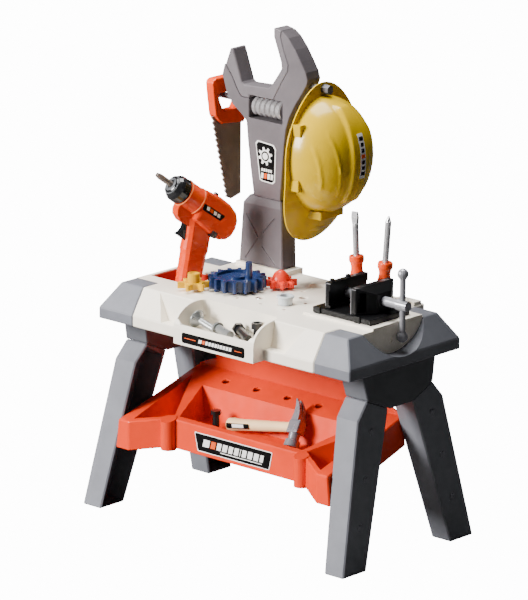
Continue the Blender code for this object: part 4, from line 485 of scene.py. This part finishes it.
def block(name, node, corners, material, soften=0.0008):
    """A small closed block from eight corners, low face first, with eased edges."""
    shape = bmesh.new()
    verts = [shape.verts.new(corner) for corner in corners]
    shape.faces.new(verts[:4])
    shape.faces.new(verts[4:])
    for index in range(4):
        after = (index + 1) % 4
        shape.faces.new((verts[index], verts[after], verts[4 + after], verts[4 + index]))
    bmesh.ops.recalc_face_normals(shape, faces=shape.faces)
    bmesh.ops.bevel(shape, geom=shape.edges[:], offset=soften, segments=2, affect="EDGES")
    return piece(name, node, shape, material, 40)


for side, along in (("high", 0.53), ("low", -0.41)):
    widest = abs(along) - 0.10
    foot = hat + Vector((0, -HAT_WIDE * math.sqrt(1 - widest * widest), HAT_LONG * along))
    ring = [(-0.001, -0.0015), (0.017, -0.0010), (0.017, 0.014), (-0.001, 0.014)]
    block(f"helmet_clip_{side}", "helmet_shell",
          [foot + Vector((x, y, z)) for z in (-0.010, 0.010) for x, y in ring], yellow)
step = hat + Vector((0.006, 0, -HAT_LONG * 0.985))
ring = [(-0.010, -0.034), (0.016, -0.029), (0.016, 0.029), (-0.010, 0.034)]
block("helmet_step", "helmet_shell", [step + Vector((x, y, z)) for z in (-0.0095, 0.0040) for x,
                                      y in ring], yellow)


# Gears ------------------------------------------------------------------------------------------
# Glossy toy gears that turn on cream axles: navy wheel with a crank peg, yellow and red pinions.
dress("gear_blue", (0.012, 0.026, 0.088), 0.24, coat=0.2)
dress("gear_yellow", (0.62, 0.33, 0.001), 0.28)
dress("gear_orange", (0.80, 0.040, 0.016), 0.26)


# Bench vise -----------------------------------------------------------------------------------------
# Black satin mouldings with pale strips along the jaws' front and top edges that are painted
# highlights, standing in for light caught on their bevels; the spindle and the tommy bar are grey.
for part in ("vise_base", "vise_fixed_jaw", "vise_moving_jaw"):
    dress(part, (0.0035, 0.0035, 0.0040), 0.32, shine=0.22)
for part in ("vise_screw", "vise_tommy_bar"):
    dress(part, (0.30, 0.30, 0.325), 0.30, metal=0.35)
# Pale grey strips along each jaw's front and top edges: painted highlights for light caught on the
# bevelled edges.
painted_highlight_grey = tinted("vise_painted_highlight", (0.20, 0.20, 0.215), 0.34)
low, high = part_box("vise_fixed_jaw")
move_low, move_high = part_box("vise_moving_jaw")
for name, near, far in (("vise_fixed_jaw", low, high), ("vise_moving_jaw", move_low, move_high)):
    shape = bmesh.new()
    top = far[2] - (0.0040 if name == "vise_fixed_jaw" else 0.0)
    slab(shape, [(near[0] + 0.0012, near[2] + 0.004), (near[0] + 0.0024, near[2] + 0.004),
                 (near[0] + 0.0024, top - 0.0022), (near[0] + 0.0012, top - 0.0022)], near[1] - 0.0003,
                 0.0006)
    slab(shape, [(near[0] + 0.0030, top - 0.0024), (min(far[0], near[0] + 0.0125), top - 0.0024),
                 (min(far[0], near[0] + 0.0125), top - 0.0012), (near[0] + 0.0030, top - 0.0012)],
         near[1] - 0.0003, 0.0006)
    piece(f"{name}_edge", name, shape, painted_highlight_grey)


# Drill ----------------------------------------------------------------------------------------------
# Two clamshell halves in glossy orange, a black chuck that turns with the bit, and a black
# trigger and switch. Own directions: ahead along the bit, across the halves, over the casing.
for part in ("drill_body_left", "drill_body_right"):
    dress(part, (0.80, 0.052, 0.003), 0.26, depth=0.04, coat=0.15)
for part in ("drill_chuck", "drill_trigger", "drill_direction_switch", "drill_top_stud"):
    dress(part, (0.009, 0.009, 0.010), 0.18, coat=0.4)
dress("drill_bit", (0.22, 0.18, 0.155), 0.34, metal=0.1)
DRILL_HALF = 0.0215
COLLAR = 0.0240
drill_at = Vector((-0.197079, -0.052204, 0.5467))
ahead = Vector((-0.248405, -0.764514, 0.594823)).normalized()
across = Vector((0.951057, -0.309017, 0.0)).normalized()
over = ahead.cross(across)
if over.z < 0:
    over = -over


def in_drill(forward, sideways, upward):
    """A place given in the drill's own directions."""
    return drill_at + ahead * forward + across * sideways + over * upward


def drill_ring(name, node, forward, radius, thick, wide, material, steps=48):
    """A band round the drill's axis: radius outside, thick, wide along the axis."""
    shape = bmesh.new()
    loops = []
    for r, s in ((radius, -wide / 2), (radius + thick * 0.3, 0.0), (radius, wide / 2),
                 (radius - thick, wide / 2), (radius - thick, -wide / 2)):
        loop = []
        for step in range(steps):
            turn = 2 * math.pi * step / steps
            loop.append(shape.verts.new(in_drill(forward + s, r * math.cos(turn), r * math.sin(turn))))
        loops.append(loop)
    for index, loop in enumerate(loops):
        after = loops[(index + 1) % len(loops)]
        for step in range(steps):
            shape.faces.new((loop[step], loop[(step + 1) % steps], after[(step + 1) % steps],
                             after[step]))
    return piece(name, node, shape, material)


rim_orange = tinted("drill_rim", (0.86, 0.20, 0.06), 0.26, spread=0.05)
chuck_grey = tinted("drill_chuck_ring", (0.16, 0.165, 0.175), 0.20, metal=0.3)
drill_ring("drill_rim_front", "drill_body_left", -0.0006, COLLAR + 0.0006, 0.0016, 0.0016, rim_orange)
drill_ring("drill_rim_back", "drill_body_left", -0.0300, COLLAR + 0.0010, 0.0020, 0.0018, rim_orange)
drill_ring("drill_chuck_band", "drill_chuck", 0.0268, 0.0172, 0.0015, 0.0022, chuck_grey)
drill_ring("drill_chuck_mouth", "drill_chuck", 0.0299, 0.0112, 0.0040, 0.0012, chuck_grey)


def drill_panel(name, node, outline, out, thick, material):
    """A thin plate on the side of the casing that faces the view: an outline ahead and over."""
    shape = bmesh.new()
    near = [shape.verts.new(in_drill(s, out, n)) for s, n in outline]
    far = [shape.verts.new(in_drill(s, out - thick, n)) for s, n in outline]
    shape.faces.new(near)
    shape.faces.new(far)
    for index in range(len(near)):
        after = (index + 1) % len(near)
        shape.faces.new((near[index], near[after], far[after], far[index]))
    return piece(name, node, shape, material)


label = rounded([(-0.0350, 0.0035), (-0.0840, 0.0050), (-0.0800, -0.0065), (-0.0380, -0.0075)], 0.003)
drill_panel("drill_label", "drill_body_left", label, DRILL_HALF + 0.0006, 0.0010, ink)
for index in range(4):
    start = -0.0440 - index * 0.0085
    drill_panel(f"drill_label_mark_{index + 1}", "drill_body_left",
                [(start, -0.0038), (start - 0.0065, -0.0034), (start - 0.0045, 0.0026),
                 (start + 0.0020, 0.0022)],
                DRILL_HALF + 0.0009, 0.0006, accent if index == 1 else paper)


# Screwdrivers, hammer and loose fasteners -------------------------------------------------------------
# Fluted orange handles with plated shafts, a pale hammer handle with a grey claw head, and
# a bin of oversized plastic screws, bolts and a bush.
for part in ("driver_flat_handle", "driver_cross_handle"):
    dress(part, (0.84, 0.068, 0.010), 0.24, depth=0.04)
for part in ("driver_flat_shaft", "driver_cross_shaft"):
    dress(part, (0.58, 0.58, 0.60), 0.24, metal=0.6)
dress("loose_bush", (0.50, 0.54, 0.56), 0.30)
dress("hammer_handle", (0.90, 0.62, 0.33), 0.38, spread=0.06)
dress("hammer_head", (0.26, 0.26, 0.29), 0.26, metal=0.5)
low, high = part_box("hammer_handle")
butt = Vector((low[0], (low[1] + high[1]) / 2 - 0.0016, low[2] + 0.0123))
grip_end = Vector((high[0], (low[1] + high[1]) / 2 + 0.0016, high[2] - 0.0090))
along = (grip_end - butt).normalized()
toward = Vector((0.35, -0.86, 0.36))
toward = (toward - along * toward.dot(along)).normalized()
around = along.cross(toward)


def grip_patch(name, start, end, spread, lift, material, steps=8):
    """A thin label that wraps part of the hammer's grip between two distances from the butt."""
    shape = bmesh.new()
    rings = []
    for distance, raised in ((start, lift), (end, lift), (end, lift - 0.0012), (start, lift - 0.0012)):
        radius = 0.0120 - 0.0016 * soft_step(distance, 0.013, 0.036) + raised
        ring = []
        for step in range(steps + 1):
            turn = spread * (2 * step / steps - 1) + 0.35
            ring.append(shape.verts.new(butt + along * distance + toward * radius * math.cos(turn)
                                        + around * radius * math.sin(turn)))
        rings.append(ring)
    for index, ring in enumerate(rings):
        after = rings[(index + 1) % 4]
        for step in range(steps):
            shape.faces.new((ring[step], ring[step + 1], after[step + 1], after[step]))
    for step in (0, steps):
        shape.faces.new([ring[step] for ring in rings])
    return piece(name, "hammer_handle", shape, material)


grip_patch("hammer_label", 0.008, 0.056, 0.36, 0.0012, ink)
grip_patch("hammer_label_field", 0.021, 0.046, 0.24, 0.0016, paper)
for part in ("countersunk_screw", "cross_bolt"):
    dress(part, (0.30, 0.31, 0.31), 0.28, metal=0.6)
for part in ("hex_bolt", "standing_bolt", "tray_bolt"):
    dress(part, (0.010, 0.010, 0.011), 0.30, coat=0.2)


# Floor, lights and camera ---------------------------------------------------------------------------
# White studio sweep that shows as clean white, a large soft key from the front left, a weak
# top light, hardly any fill, and the camera.
bpy.ops.mesh.primitive_plane_add(size=60.0, location=(0, 0, 0))
floor = bpy.context.object
floor.name = "studio_floor"
GLOW = 14.0
sweep = moulded("studio_floor", (0.10, 0.10, 0.10), (0.12, 0.12, 0.12), 0.75, depth=0.01, drift=0.4)
tree = sweep.node_tree
glow = tree.nodes.new("ShaderNodeEmission")
glow.inputs["Strength"].default_value = GLOW
seen = tree.nodes.new("ShaderNodeLightPath")
mix = tree.nodes.new("ShaderNodeMixShader")
tree.links.new(seen.outputs["Is Camera Ray"], mix.inputs["Fac"])
tree.links.new(tree.nodes["Principled BSDF"].outputs["BSDF"], mix.inputs[1])
tree.links.new(glow.outputs["Emission"], mix.inputs[2])
tree.links.new(mix.outputs["Shader"], tree.nodes["Material Output"].inputs["Surface"])
floor.data.materials.append(sweep)


def softbox(name, place, aim, size, power, tint=(1.0, 1.0, 1.0)):
    """A square area light at a place, turned to an aim point."""
    light = bpy.data.lights.new(name, "AREA")
    light.shape = "SQUARE"
    light.size = size
    light.energy = power
    light.color = tint
    made = bpy.data.objects.new(name, light)
    made.location = place
    made.rotation_euler = (Vector(aim) - Vector(place)).to_track_quat("-Z", "Y").to_euler()
    bpy.context.scene.collection.objects.link(made)


softbox("key", (-1.7, -3.6, 1.9), (0, 0, 0.4), 1.5, 540.0, (1.0, 0.985, 0.965))
softbox("top", (-0.5, 0.2, 3.2), (0, 0, 0.4), 1.6, 170.0)
softbox("fill", (3.4, -1.6, 1.2), (0, 0, 0.4), 1.4, 3.0)
world = bpy.data.worlds.new("studio")
world.use_nodes = True
world.node_tree.nodes["Background"].inputs["Color"].default_value = (1.0, 1.0, 1.0, 1.0)
world.node_tree.nodes["Background"].inputs["Strength"].default_value = 0.03
bpy.context.scene.world = world

azimuth = math.radians(42.199)
elevation = math.radians(15.586)
roll = math.radians(0.3805)
away = Vector((math.sin(azimuth) * math.cos(elevation), -math.cos(azimuth) * math.cos(elevation),
               math.sin(elevation)))
side = Vector((math.cos(azimuth), math.sin(azimuth), 0))
over = Vector((-math.sin(azimuth) * math.sin(elevation), math.cos(azimuth) * math.sin(elevation),
               math.cos(elevation)))
right = math.cos(roll) * side + math.sin(roll) * over
up = -math.sin(roll) * side + math.cos(roll) * over
aim = Vector((-0.0319, middle("gear_blue").y + 0.0121, 0.3832))
distance = 9.083
eye = aim + away * distance
lens = bpy.data.cameras.new("view")
lens.lens = 321.06
lens.sensor_width = 36.0
lens.clip_end = 100.0
camera = bpy.data.objects.new("view", lens)
camera.matrix_world = Matrix.Translation(eye) @ Matrix((right, up, away)).transposed().to_4x4()
bpy.context.scene.collection.objects.link(camera)
bpy.context.scene.camera = camera
